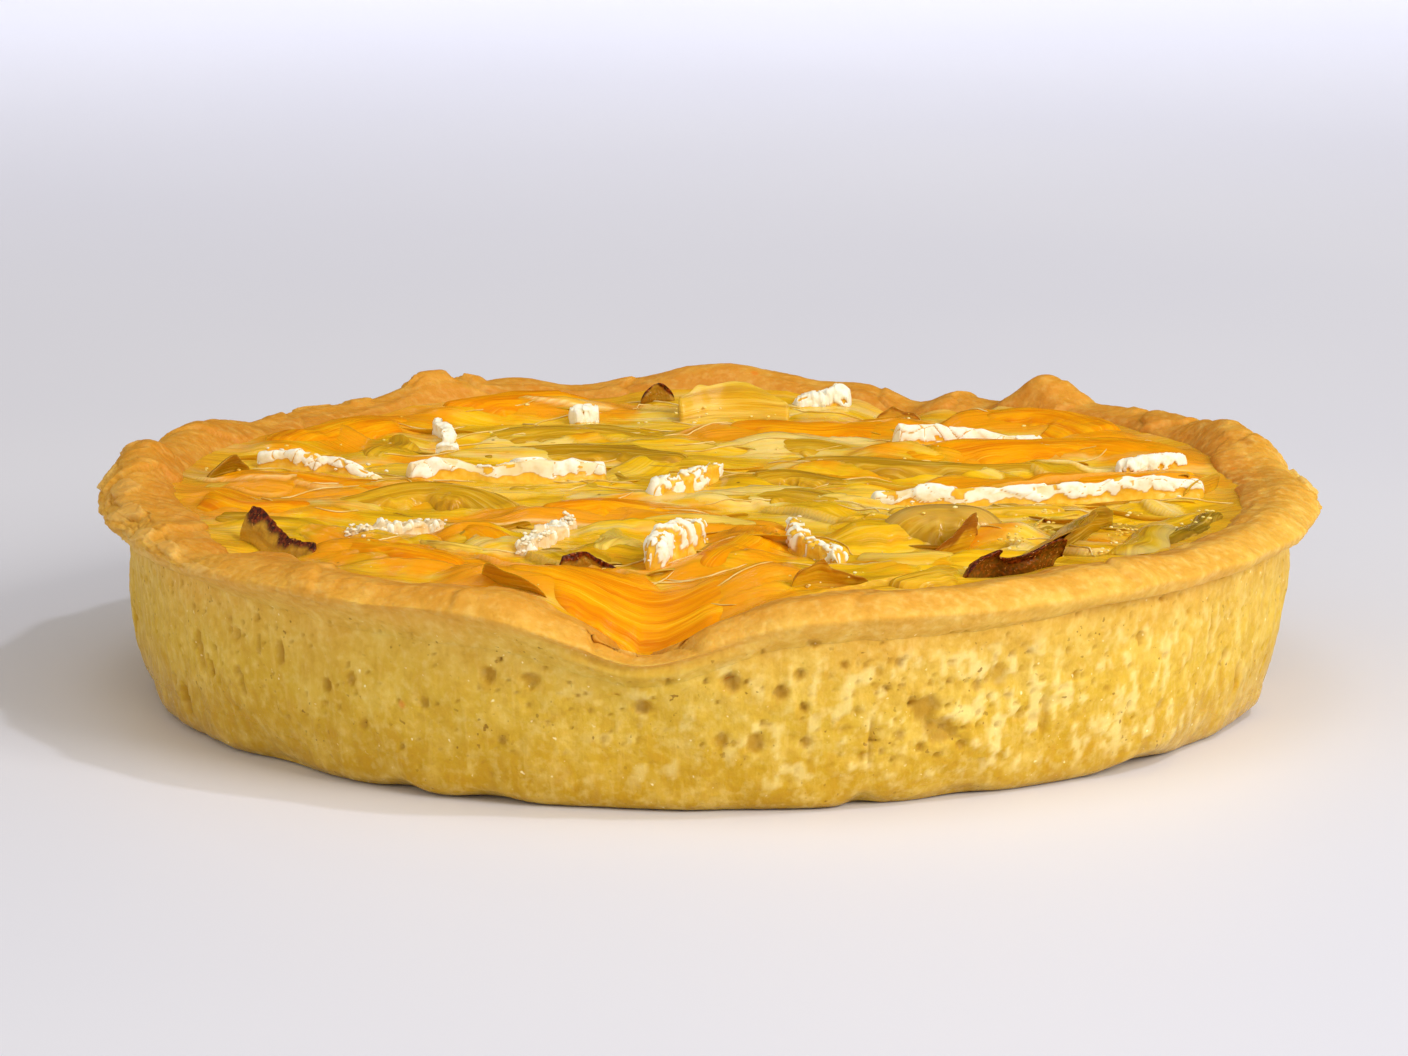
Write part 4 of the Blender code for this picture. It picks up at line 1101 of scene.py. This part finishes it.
def make_fibre(name, x, y, heading, length, bow, seed):
    """One leek fibre that lies on the top in a slight curve."""

    def place(u, v):
        v = np.where(v > 0.9, 0.0, v)
        turn = 2 * np.pi * v
        along = (u - 0.5) * length
        off = bow * (1 - (2 * u - 1) ** 2) + 0.4 * billows(u * length / 5, 0.0, seed, 110)
        px = x + math.cos(heading) * along - math.sin(heading) * off
        py = y + math.sin(heading) * along + math.cos(heading) * off
        radius = 0.13 * np.sqrt(np.clip(1 - (2 * u - 1) ** 4, 0, 1))
        ground = on_custard(px, py)
        px = px - math.sin(heading) * radius * np.cos(turn)
        py = py + math.cos(heading) * radius * np.cos(turn)
        return (px, py, ground + 0.12 + radius * np.sin(turn)), {}

    return seal(grid(name, 26, 5, place))


# Finishes
def srgb(code):
    """An sRGB hex colour as the linear values a shader reads."""
    parts = [int(code[i : i + 2], 16) / 255 for i in (1, 3, 5)]
    return tuple(p / 12.92 if p <= 0.04045 else ((p + 0.055) / 1.055) ** 2.4 for p in parts) + (1.0,)


def add(tree, kind, inputs=None, stops=None, **settings):
    """Adds a node with its settings; inputs holds values or the outputs they are linked to."""
    made = tree.nodes.new(kind)
    for key, value in settings.items():
        setattr(made, key, value)
    for key, value in (inputs or {}).items():
        if isinstance(value, bpy.types.NodeSocket):
            tree.links.new(value, made.inputs[key])
        else:
            made.inputs[key].default_value = srgb(value) if isinstance(value, str) else value
    if stops:
        ramp = made.color_ramp
        while len(ramp.elements) < len(stops):
            ramp.elements.new(1.0)
        for element, (at, code) in zip(ramp.elements, stops):
            element.position = at
            element.color = srgb(code) if isinstance(code, str) else (code, code, code, 1.0)
    return made


def begin(name, **settings):
    """A material with its shader's fixed settings, and its tree. Subsurface radii are in metres."""
    made = bpy.data.materials.new(name)
    made.use_nodes = True
    shader = made.node_tree.nodes["Principled BSDF"]
    shader.inputs["Subsurface Scale"].default_value = 1.0
    for key, value in settings.items():
        shader.inputs[key.replace("_", " ")].default_value = value
    return made, made.node_tree


def complete(tree, base, rough=None, rise=None, strength=0.0, depth=0.0):
    """Links a finish's colour to its shader, with its roughness and its fine relief, depth metres deep."""
    shader = tree.nodes["Principled BSDF"]
    tree.links.new(base, shader.inputs["Base Color"])
    if rough is not None:
        tree.links.new(rough, shader.inputs["Roughness"])
    if rise is not None:
        bump = add(tree, "ShaderNodeBump", {"Height": rise, "Strength": strength, "Distance": depth})
        tree.links.new(bump.outputs[0], shader.inputs["Normal"])


def size_mm(length):
    """The scale that makes a pattern on Object coordinates repeat every so many millimetres."""
    return 1.0 / (length * MM)


def mottle(tree, size, detail=4.0, stretch=(1, 1, 1)):
    """Cloudy noise in blots about size mm across, drawn out along an axis where stretch is small."""
    place = add(tree, "ShaderNodeTexCoord").outputs["Object"]
    place = add(tree, "ShaderNodeMapping", {"Vector": place, "Scale": stretch}).outputs[0]
    settings = {"Vector": place, "Scale": size_mm(size), "Detail": detail}
    return add(tree, "ShaderNodeTexNoise", settings).outputs[0]


def fibres(tree, length, width):
    """Noise drawn out along the piece: about length mm long and width mm wide."""
    along = add(tree, "ShaderNodeAttribute", attribute_name="along").outputs["Fac"]
    across = add(tree, "ShaderNodeAttribute", attribute_name="across").outputs["Fac"]
    vector = add(tree, "ShaderNodeCombineXYZ", {0: along, 1: across}).outputs[0]
    scale = (1 / length, 1 / width, 1)
    vector = add(tree, "ShaderNodeMapping", {"Vector": vector, "Scale": scale}).outputs[0]
    return add(tree, "ShaderNodeTexNoise", {"Vector": vector, "Scale": 1.0, "Detail": 3.0}).outputs[0]


def strands(tree, coarse, fine):
    """Coarse and fine fibres, each given as length and width, and the relief they make together."""
    streak, thin = fibres(tree, *coarse), fibres(tree, *fine)
    inputs = {0: streak, 1: 0.9, 2: thin}
    return streak, thin, add(tree, "ShaderNodeMath", inputs, operation="MULTIPLY_ADD").outputs[0]


def toned(tree, length, width, contrast):
    """The piece's own tone from 0 to 1, made uneven by broad fibres."""
    tone = add(tree, "ShaderNodeAttribute", attribute_name="tone").outputs["Fac"]
    inputs = {0: fibres(tree, length, width), 1: contrast, 2: -0.5 * contrast}
    shade = add(tree, "ShaderNodeMath", inputs, operation="MULTIPLY_ADD").outputs[0]
    return add(tree, "ShaderNodeMath", {0: shade, 1: tone}, operation="ADD").outputs[0]


def tint(tree, base, colour, value, low, high, most):
    """Lays colour over base, from none where value is low to the share most where it is high.

    value is an output or the name of a mark that the mesh carries; colour and most may be outputs too.
    """
    if isinstance(value, str):
        value = add(tree, "ShaderNodeAttribute", attribute_name=value).outputs["Fac"]
    share = add(tree, "ShaderNodeMapRange", {0: value, 1: low, 2: high, 3: 0.0, 4: most}).outputs[0]
    return add(tree, "ShaderNodeMix", {0: share, 6: base, 7: colour}, data_type="RGBA").outputs[2]


def tints(tree, base, *rows):
    """Lays several tints over base in turn, each row as tint takes it."""
    for row in rows:
        base = tint(tree, base, *row)
    return base


def shortcrust():
    """Shortcrust baked in a tin: moist and yellow at the foot, open matt crumb above it, and a
    smooth toasted rim."""
    made, tree = begin(
        "baked shortcrust", Subsurface_Weight=0.2, Subsurface_Radius=(0.0022, 0.0012, 0.0004), IOR=1.45,
        Specular_IOR_Level=0.22,
    )
    # level runs from the foot at 0 over the lip at 1 to the crest at 1.5
    level = add(tree, "ShaderNodeAttribute", attribute_name="level").outputs["Fac"]
    inputs = {0: mottle(tree, 16), 1: 0.44, 2: -0.22}
    spread = add(tree, "ShaderNodeMath", inputs, operation="MULTIPLY_ADD").outputs[0]
    tinted = add(tree, "ShaderNodeMath", {0: level, 1: spread}, operation="ADD").outputs[0]
    tinted = add(tree, "ShaderNodeMath", {0: tinted, 1: 0.6}, operation="MULTIPLY").outputs[0]
    bake = (
        (0.0, "#C4981A"), (0.16, "#CDA322"), (0.33, "#D7B139"), (0.48, "#DBB244"),
        (0.60, "#E0AE46"), (0.72, "#DBA03A"), (0.82, "#D19132"), (0.92, "#C37F2C"),
    )
    base = add(tree, "ShaderNodeValToRGB", {0: tinted}, stops=bake).outputs[0]
    lumps, crumb = mottle(tree, 4.5, 5.0), mottle(tree, 1.4, 4.0)
    # the dough's pull up the tin, seen as faint upright streaks
    drawn = mottle(tree, 1.6, 4.0, (1, 1, 0.14))
    # painted shade: the rim is coloured browner at its back and left, away from the key light, and stays
    # pale at its right front, where the light falls
    place = add(tree, "ShaderNodeTexCoord").outputs["Object"]
    inputs = {0: place, 1: (9.2, -5.3, 0.0)}
    side = add(tree, "ShaderNodeVectorMath", inputs, operation="DOT_PRODUCT").outputs[1]
    away = add(tree, "ShaderNodeMapRange", {0: side, 1: 0.85, 2: 0.5, 3: 0.0, 4: 0.45}).outputs[0]
    # pores too fine for the mesh, about 0.4 mm across, in drifts on the wall, painted as dark specks of
    # shade, and pale specks painted on the wall as glints
    wall = add(tree, "ShaderNodeMapRange", {0: level, 1: 1.02, 2: 0.92, 3: 0.0, 4: 1.0}).outputs[0]
    drifts = mottle(tree, 7, 2.0)
    sieve = add(tree, "ShaderNodeMapRange", {0: drifts, 1: 0.44, 2: 0.62, 4: 0.75}).outputs[0]
    where = add(tree, "ShaderNodeMath", {0: wall, 1: sieve}, operation="MULTIPLY").outputs[0]
    pin = mottle(tree, 1.0, 1.0)
    # orange specks where pumpkin has touched, about 15 mm apart
    cells = {"Vector": place, "Scale": size_mm(15)}
    specks = add(tree, "ShaderNodeTexVoronoi", cells).outputs["Distance"]
    base = tints(
        tree, base,
        ("#F1D069", lumps, 0.48, 0.74, 0.45),
        ("#C68F1E", lumps, 0.47, 0.32, 0.25),
        ("#F4DC8A", crumb, 0.50, 0.80, 0.45),
        ("#BA841C", crumb, 0.45, 0.30, 0.26),
        ("#F4D880", drawn, 0.56, 0.74, 0.3),
        ("#BE8A26", drawn, 0.44, 0.28, 0.2),
        ("#F9E79E", "curd", 0.0, 1.0, 0.6),
        ("#CE8428", "raised", 0.8, 2.0, 0.4),
        # pale flakes, paler still toward their edges as painted highlight
        ("#F0CE80", "flake", 0.2, 1.0, 0.7),
        ("#CE8620", level, 0.95, 1.2, away),
        ("#8E4712", "toast", 0.0, 1.0, 0.85),
        # painted shade in pores, hollows and crease lines
        ("#A87410", "hollow_shade", 0.0, 1.0, 0.62),
        # painted shade of fine pores, and painted glints on the wall
        ("#8A5C10", pin, 0.31, 0.26, where),
        ("#FBEBAE", pin, 0.74, 0.82, wall),
        ("#E07E1C", specks, 0.06, 0.03, 0.6),
    )
    moist = add(tree, "ShaderNodeMapRange", {0: tinted, 1: 0.06, 2: 0.30, 3: 0.2, 4: 0.58}).outputs[0]
    smooth = add(tree, "ShaderNodeMapRange", {0: tinted, 1: 0.60, 2: 0.75, 3: 0.0, 4: 0.14}).outputs[0]
    rough = add(tree, "ShaderNodeMath", {0: moist, 1: smooth}, operation="SUBTRACT").outputs[0]
    inputs = {0: drawn, 1: 0.7, 2: mottle(tree, 0.8, 5.0)}
    rise = add(tree, "ShaderNodeMath", inputs, operation="MULTIPLY_ADD").outputs[0]
    complete(tree, base, rough, rise, 0.5, 0.0004)
    return made


def baked_custard():
    """Egg custard set over soft leek: translucent and shiny, streaked yellow, olive and orange."""
    made, tree = begin(
        "baked custard", Subsurface_Weight=0.25, Subsurface_Radius=(0.003, 0.0012, 0.0002), IOR=1.38,
        Specular_IOR_Level=0.3,
    )
    yellows = (
        (0.0, "#9A7606"), (0.22, "#C0950A"), (0.42, "#DEAC0E"), (0.62, "#F0BC10"), (0.8, "#ECC448"),
        (1.0, "#ECD080"),
    )
    shade = toned(tree, 22.0, 2.6, 1.3)
    base = add(tree, "ShaderNodeValToRGB", {0: shade}, stops=yellows).outputs[0]
    streak, thin, rise = strands(tree, (16.0, 1.1), (18.0, 0.5))
    patches = mottle(tree, 9, 3.0)
    # orange shines through near the pumpkin and under some layers
    glow = patches
    for mark, share in (("orange", 0.26), ("shine", 0.36)):
        near = add(tree, "ShaderNodeAttribute", attribute_name=mark).outputs["Fac"]
        inputs = {0: near, 1: share, 2: glow}
        glow = add(tree, "ShaderNodeMath", inputs, operation="MULTIPLY_ADD").outputs[0]
    # flecks of herb about 0.4 mm across, 9 mm apart
    place = add(tree, "ShaderNodeTexCoord").outputs["Object"]
    cells = {"Vector": place, "Scale": size_mm(9)}
    herb = add(tree, "ShaderNodeTexVoronoi", cells).outputs["Distance"]
    # edge is where the custard toasts as it climbs the pastry
    base = tints(
        tree, base,
        ("#B88206", streak, 0.46, 0.32, 0.36),
        ("#F6D44E", streak, 0.56, 0.72, 0.42),
        ("#F2D060", thin, 0.57, 0.72, 0.3),
        ("#EC9803", glow, 0.60, 0.80, 0.9),
        ("#F1D46C", "milky", 0.0, 1.0, 0.25),
        # painted shadow in front of the raised leek edges
        ("#7E5408", "gap_and_painted_shadow", 0.0, 1.0, 0.7),
        # painted highlight along the raised leek edges
        ("#F8E6AE", "fold", 0.0, 1.0, 0.75),
        ("#DE9A2A", "edge", 0.0, 1.0, 0.5),
        ("#6A4410", herb, 0.045, 0.02, 0.8),
    )
    wet = add(tree, "ShaderNodeMapRange", {0: patches, 1: 0.3, 2: 0.7, 3: 0.10, 4: 0.24}).outputs[0]
    inputs = {0: mottle(tree, 1.6, 3.0), 1: 0.8, 2: rise}
    rise = add(tree, "ShaderNodeMath", inputs, operation="MULTIPLY_ADD").outputs[0]
    complete(tree, base, wet, rise, 0.35, 0.0004)
    return made


def roast_pumpkin():
    """Pumpkin flesh baked soft: clear orange with pale fibres along the slice, and shiny."""
    made, tree = begin(
        "roast pumpkin flesh", Subsurface_Weight=0.25, Subsurface_Radius=(0.003, 0.0012, 0.0001),
        IOR=1.38, Specular_IOR_Level=0.1, Roughness=0.2,
    )
    oranges = ((0.3, "#D67A02"), (0.45, "#E68F02"), (0.58, "#EE9E04"), (0.74, "#F3AE0E"))
    base = add(tree, "ShaderNodeValToRGB", {0: fibres(tree, 16.0, 2.4)}, stops=oranges).outputs[0]
    streak, thin, rise = strands(tree, (14.0, 0.9), (12.0, 0.35))
    base = tints(
        tree, base,
        ("#D67602", streak, 0.46, 0.34, 0.55),
        ("#F9BC20", streak, 0.56, 0.72, 0.5),
        ("#FACA3C", thin, 0.58, 0.72, 0.45),
    )
    complete(tree, base, None, rise, 0.55, 0.0003)
    return made


def soft_leek():
    """Leek baked soft: translucent layers from olive to straw with fibres along them."""
    made, tree = begin(
        "soft baked leek", Subsurface_Weight=0.3, Subsurface_Radius=(0.003, 0.0014, 0.0002), IOR=1.38,
        Specular_IOR_Level=0.3, Roughness=0.18,
    )
    greens = ((0.0, "#806206"), (0.25, "#AA800A"), (0.5, "#C8960E"), (0.75, "#DCAB1E"), (1.0, "#E8C75E"))
    shade = toned(tree, 20.0, 2.0, 1.1)
    base = add(tree, "ShaderNodeValToRGB", {0: shade}, stops=greens).outputs[0]
    streak, thin, rise = strands(tree, (15.0, 1.0), (16.0, 0.45))
    base = tints(
        tree, base,
        ("#A6740A", streak, 0.47, 0.34, 0.55),
        ("#F0CE58", streak, 0.56, 0.72, 0.45),
        ("#EFD068", thin, 0.56, 0.70, 0.4),
        ("#E2C67C", "pale", 0.0, 1.0, 0.65),
        ("#864612", "mask", 0.0, 1.0, 1.0),
    )
    complete(tree, base, None, rise, 0.6, 0.0003)
    return made


def caramelised_leek():
    """Leek edges caught by the oven: dark red-brown, grainy and glossy with caramelised juice."""
    made, tree = begin(
        "caramelised leek edge", Subsurface_Weight=0.1, Subsurface_Radius=(0.0015, 0.0004, 0.0001),
        IOR=1.42, Specular_IOR_Level=0.3, Roughness=0.18,
    )
    grain = mottle(tree, 0.6)
    browns = ((0.3, "#240A01"), (0.5, "#561B03"), (0.7, "#8E3A08"))
    burnt = add(tree, "ShaderNodeValToRGB", {0: grain}, stops=browns).outputs[0]
    golds = ((0.3, "#B4800F"), (0.7, "#DCAE38"))
    flesh = add(tree, "ShaderNodeValToRGB", {0: fibres(tree, 14.0, 1.4)}, stops=golds).outputs[0]
    # pale specks about 0.4 mm across are painted highlights on the sugar grains
    burnt = tint(tree, burnt, "#D99A4A", mottle(tree, 0.5, 2.0), 0.64, 0.72, 0.7)
    complete(tree, tint(tree, flesh, burnt, "mask", 0.0, 1.0, 1.0), None, grain, 0.7, 0.0004)
    return made


def white_rind_cheese():
    """Soft cheese: chalky white rind where it is whole, melted golden cheese where it isn't."""
    made, tree = begin(
        "white-rind cheese", Subsurface_Weight=0.2, Subsurface_Radius=(0.002, 0.0018, 0.0012), IOR=1.4,
        Specular_IOR_Level=0.3,
    )
    dust = mottle(tree, 1.2)
    whites = ((0.3, "#E8DFC0"), (0.46, "#F3F0E2"), (0.7, "#FAFAF2"))
    white = add(tree, "ShaderNodeValToRGB", {0: dust}, stops=whites).outputs[0]
    # low plates are tinted cream: partly the cheese under thin plates showing through, partly painted
    # shade between the plates
    white = tint(tree, white, "#EBCF8C", "plate", 0.45, 0.05, 0.75)
    golds = ((0.3, "#E6AA22"), (0.5, "#EBB630"), (0.7, "#F0C44C"))
    gold = add(tree, "ShaderNodeValToRGB", {0: dust}, stops=golds).outputs[0]
    rind = add(tree, "ShaderNodeAttribute", attribute_name="mask").outputs["Fac"]
    # a toasted line where the rind ends
    line = ((0.1, 0.0), (0.32, 0.5), (0.6, 0.0))
    band = add(tree, "ShaderNodeValToRGB", {0: rind}, stops=line).outputs[0]
    base = tints(tree, gold, (white, "mask", 0.2, 0.7, 1.0), ("#B9822C", band, 0.0, 1.0, 1.0))
    rough = add(tree, "ShaderNodeMapRange", {0: rind, 1: 0.1, 2: 0.6, 3: 0.22, 4: 0.7}).outputs[0]
    complete(tree, base, rough, dust, 0.3, 0.0003)
    return made


def plain_finish(name, blots, stops, **settings):
    """A finish whose colour only drifts a little, in blots this many millimetres across."""
    made, tree = begin(name, **settings)
    complete(tree, add(tree, "ShaderNodeValToRGB", {0: mottle(tree, blots, 2.0)}, stops=stops).outputs[0])
    return made


def leek_fibre():
    """Loose leek fibres: pale straw and shiny."""
    return plain_finish(
        "leek fibre", 4, ((0.35, "#D9AC40"), (0.65, "#F0DC9A")), IOR=1.4, Roughness=0.3,
        Subsurface_Weight=0.2, Subsurface_Radius=(0.001, 0.0008, 0.0004),
    )


def golden_juice():
    """Beads of baked juice and butter: clear amber and very glossy."""
    return plain_finish(
        "baked juice", 6, ((0.35, "#E2B43A"), (0.5, "#F0CE6A"), (0.65, "#FAE8AC")), IOR=1.4,
        Roughness=0.1, Subsurface_Weight=0.4, Subsurface_Radius=(0.0012, 0.0007, 0.0001),
    )


def pale_floor():
    """A plain matt surface, a little lavender as in a shaded studio."""
    return plain_finish("plain pale floor", 300, ((0.3, "#E1E4FA"), (0.7, "#E5E8FC")), Roughness=0.55)


# Making
crust = shortcrust()
wall = seal(grid("pastry_wall", WALL_SECTORS, sum(WALL_STEPS), wall_place, ring=True))
finish_piece(wall, crust, ["pastry_shell"])
rim = seal(grid("pastry_rim", RIM_SECTORS, sum(RIM_STEPS), rim_place, ring=True))
finish_piece(rim, crust, ["pastry_shell"])
make_custard(baked_custard())

# In each group of pieces the seeds count on from its own first one
slices = []
for seed, (name, form) in enumerate(SLICES.items(), 1):
    shape = dict(along=64, around=48, ragged=0.3, widen=1.3, flatten=0.66)
    slices.append(lay(name, form, 0.5, seed, SOFT_SECTION, pumpkin_grain, **shape))
finish_piece(joined("pumpkin_slices", slices), roast_pumpkin(), list(SLICES))

cheeses = []
for seed, (name, form) in enumerate(CHEESES.items(), 20):
    shape = dict(along=130, around=70, ragged=0.1, blunt=0.7, end=0.025)
    cheeses.append(lay(name, form, 0.5, seed, CHEESE_SECTION, rind_of_slice, **shape))
for seed, (name, form) in enumerate(RINDS.items(), 30):
    shape = dict(along=100, around=48, ragged=0.4, blunt=0.5, end=0.05, flatten=0.9)
    cheeses.append(lay(name, form, 0.5, seed, RIND_SECTION, rind_plates, **shape))
cheese = white_rind_cheese()
finish_piece(joined("cheese_slices", cheeses), cheese, [*CHEESES, *RINDS])

tones = np.random.default_rng(5)
layers = []
for seed, (name, form) in enumerate(RIBBONS.items(), 50):
    tone = form.get("tone", tones.uniform(0.35, 0.95))
    shape = dict(along=60, around=44, ragged=0.35, widen=1.15, flatten=0.85)
    layers.append(lay(name, form, tone, seed, SOFT_SECTION, leek_folds, **shape))
for seed, (name, form) in enumerate(STANDING.items(), 80):
    tone = form.get("tone", tones.uniform(0.5, 0.9))
    layers.append(stand(name, form, tone, seed))
leek = soft_leek()
finish_piece(joined("leek_layers", layers), leek, [*RIBBONS, *STANDING])
browned = [
    stand(name, form, 0.5, seed, along=60, around=40, thickness=2.0)
    for seed, (name, form) in enumerate(BROWNED.items(), 90)
]
finish_piece(joined("browned_leek", browned), caramelised_leek(), list(BROWNED))

CURLS = 84
curls = [
    stand(name, form, form["tone"], seed, along=40, around=22, thickness=0.8)
    for seed, (name, form) in enumerate(curl_forms(CURLS, 3).items(), 100)
]
finish_piece(joined("leek_curls", curls), leek)

FIBRES = 84
draw = np.random.default_rng(8)
threads = []
for number in range(FIBRES):
    radius, around = SCATTER_RADIUS * math.sqrt(draw.random()), draw.uniform(0, 2 * math.pi)
    heading = draw.normal(0, 0.5)
    length = min(draw.uniform(6, 22), 2 * (86 - radius))
    bow = draw.normal(0, 1.5)
    x, y = radius * math.cos(around), radius * math.sin(around)
    threads.append(make_fibre(f"fibre_{number:02d}", x, y, heading, length, bow, number))
finish_piece(joined("leek_fibres", threads), leek_fibre())


def scattered(name, spots, finish, slot, squat, rough, **marks):
    """One small lump modelled once and copied to every spot: x, y, z and radius in mm."""
    bpy.ops.object.select_all(action="DESELECT")
    bpy.ops.mesh.primitive_uv_sphere_add(segments=8, ring_count=6, radius=1.0)
    first = bpy.context.object
    flat = np.empty(3 * len(first.data.vertices), dtype=np.float32)
    first.data.vertices.foreach_get("co", flat)
    ball = flat.reshape(-1, 3).astype(float)
    for key, value in marks.items():
        mark = first.data.attributes.new(key, "FLOAT", "POINT")
        mark.data.foreach_set("value", np.full(len(ball), value, dtype=np.float32))
    lumps = [first] + [first.copy() for _ in spots[1:]]
    for number, (lump, (x, y, z, radius)) in enumerate(zip(lumps, spots)):
        if number:
            lump.data = first.data.copy()
            bpy.context.scene.collection.objects.link(lump)
        uneven_ball = ball * (1 + rough * billows(*(1.3 * ball.T + 9 * number), 120))[:, None]
        turn = 2.4 * number
        c, s = math.cos(turn), math.sin(turn)
        long = 1 + 0.5 * ((number * 29) % 50) / 50
        px, py, pz = long * uneven_ball[:, 0], uneven_ball[:, 1], squat * uneven_ball[:, 2]
        px, py = c * px - s * py, s * px + c * py
        placed = np.stack((x + radius * px, y + radius * py, z + radius * pz), axis=1)
        lump.data.vertices.foreach_set("co", (placed * MM).astype(np.float32).ravel())
    return finish_piece(seal(joined(name, lumps)), finish)


def along_pieces(forms, per_mm, draws, reach, low, high):
    """Spots near the middle lines of these pieces, reach times their half width to the sides, and
    from low to high as shares of their thickness over the custard."""
    spots = []
    for form in forms:
        line = fine_line(form["spine"])
        length = np.linalg.norm(np.diff(line, axis=0), axis=1).sum()
        half = 0.5 * form.get("width", 3.0)
        for _ in range(int(length * per_mm)):
            x, y = line[draws.integers(len(line))] + draws.normal(0, 0.5, 2)
            y = y + draws.normal(0, reach * half)
            spots.append((x, y, form["thick"] * draws.uniform(low, high)))
    return spots


draws = np.random.default_rng(14)
lace = [RINDS[name] for name in ("rind_lace_slant", "rind_lace_flat")]
crumbs = along_pieces(lace, 5.5, draws, 0.7, 0.3, 0.95)
crumbs += along_pieces([RINDS["rind_striped"], RINDS["rind_curved"]], 1.0, draws, 0.9, 0.1, 0.9)
crumbs += along_pieces([CHEESES["cheese_long"], CHEESES["cheese_left"]], 0.5, draws, 0.9, 0.0, 0.5)
height = custard_height(*np.array([spot[:2] for spot in crumbs]).T)
spots = [(x, y, z + up, draws.uniform(0.16, 0.42)) for (x, y, up), z in zip(crumbs, height)]
scattered("cheese_crumbs", spots, cheese, "cheese", 0.6, 0.45, mask=1.0, plate=0.32)

beads = along_pieces(list(STANDING.values()), 1.3, draws, 0.8, 0.0, 0.4)
beads += along_pieces([RIBBONS["leek_bulb"], RIBBONS["leek_green_edge"]], 1.2, draws, 1.0, 0.1, 0.6)
LOOSE_BEADS = 110
for _ in range(LOOSE_BEADS):
    away, around = 82 * math.sqrt(draws.random()), draws.uniform(0, 2 * math.pi)
    beads.append((away * math.cos(around), away * math.sin(around), 0.0))
beads = [bead for bead in beads if math.hypot(bead[0], bead[1]) < 84]
height = on_custard(*np.array([bead[:2] for bead in beads]).T)
spots = [(x, y, z + up, draws.uniform(0.14, 0.36)) for (x, y, up), z in zip(beads, height)]
scattered("juice_beads", spots, golden_juice(), "leek", 0.6, 0.15)

# Floor, light and camera
bpy.ops.object.select_all(action="DESELECT")
bpy.ops.mesh.primitive_plane_add(size=8.0, location=(0, 1.2, 0))
floor = bpy.context.object
floor.name = "floor"
floor.data.materials.append(pale_floor())

scene = bpy.context.scene
scene.view_settings.view_transform = "Standard"
world = bpy.data.worlds.new("soft studio")
scene.world = world
world.use_nodes = True
# a little brighter all round than overhead, and dim behind the tart, as in a room lit from the front
sky = world.node_tree
toward = add(sky, "ShaderNodeSeparateXYZ", {0: add(sky, "ShaderNodeTexCoord").outputs["Generated"]})
upward, behind = toward.outputs["Z"], toward.outputs["Y"]
dimming = add(sky, "ShaderNodeMapRange", {0: upward, 1: 0.1, 2: 0.9, 3: 0.78, 4: 0.66}).outputs[0]
shade = add(sky, "ShaderNodeMapRange", {0: behind, 1: 0.1, 2: 0.85, 3: 1.05, 4: 0.05}).outputs[0]
dimming = add(sky, "ShaderNodeMath", {0: dimming, 1: shade}, operation="MULTIPLY").outputs[0]
sky.links.new(dimming, sky.nodes["Background"].inputs["Strength"])
sky.nodes["Background"].inputs["Color"].default_value = srgb("#ECE4D0")


def softbox(name, place, aim, size, power, colour):
    """A rectangular studio light at place, turned to face aim."""
    light = bpy.data.lights.new(name, "AREA")
    light.shape = "RECTANGLE"
    light.size, light.size_y = size
    light.energy = power
    light.color = srgb(colour)[:3]
    lamp = bpy.data.objects.new(name, light)
    scene.collection.objects.link(lamp)
    lamp.location = place
    lamp.rotation_euler = (Vector(aim) - Vector(place)).to_track_quat("-Z", "Y").to_euler()
    return lamp


softbox("key softbox", (0.95, -0.8, 0.7), (0, 0, 0.02), (0.6, 0.6), 12.3, "#FFF9EA")
softbox("backdrop softbox", (0, 1.1, 0.8), (0, 1.7, 0), (1.6, 0.3), 10.5, "#F8F9FF")
softbox("top softbox", (-0.1, -0.1, 1.3), (0, 0, 0), (0.6, 0.6), 1.8, "#FFFAEC")
softbox("left softbox", (-1.1, -0.9, 0.5), (0, 0, 0.02), (0.7, 0.7), 2.2, "#FFF8E8")
softbox("back lamp", (-0.25, 0.95, 0.7), (0, 0, 0.03), (0.06, 0.06), 0.1, "#FFF4E4")
softbox("small lamp", (0.5, -0.2, 0.9), (0, 0, 0.03), (0.06, 0.06), 2.0, "#FFFFFF")

# The photo's viewpoint: 950 mm from the middle of the underside, 12.8 degrees above it
VIEW_DISTANCE = 0.95
VIEW_RISE = math.radians(12.8)
VIEW_PITCH = math.radians(11.31)
camera_data = bpy.data.cameras.new("camera")
camera_data.sensor_width = 36.0
camera_data.lens = 148.4
camera = bpy.data.objects.new("camera", camera_data)
scene.collection.objects.link(camera)
camera.location = (-0.0008, -VIEW_DISTANCE * math.cos(VIEW_RISE), VIEW_DISTANCE * math.sin(VIEW_RISE))
camera.rotation_euler = (math.pi / 2 - VIEW_PITCH, 0, 0)
scene.camera = camera
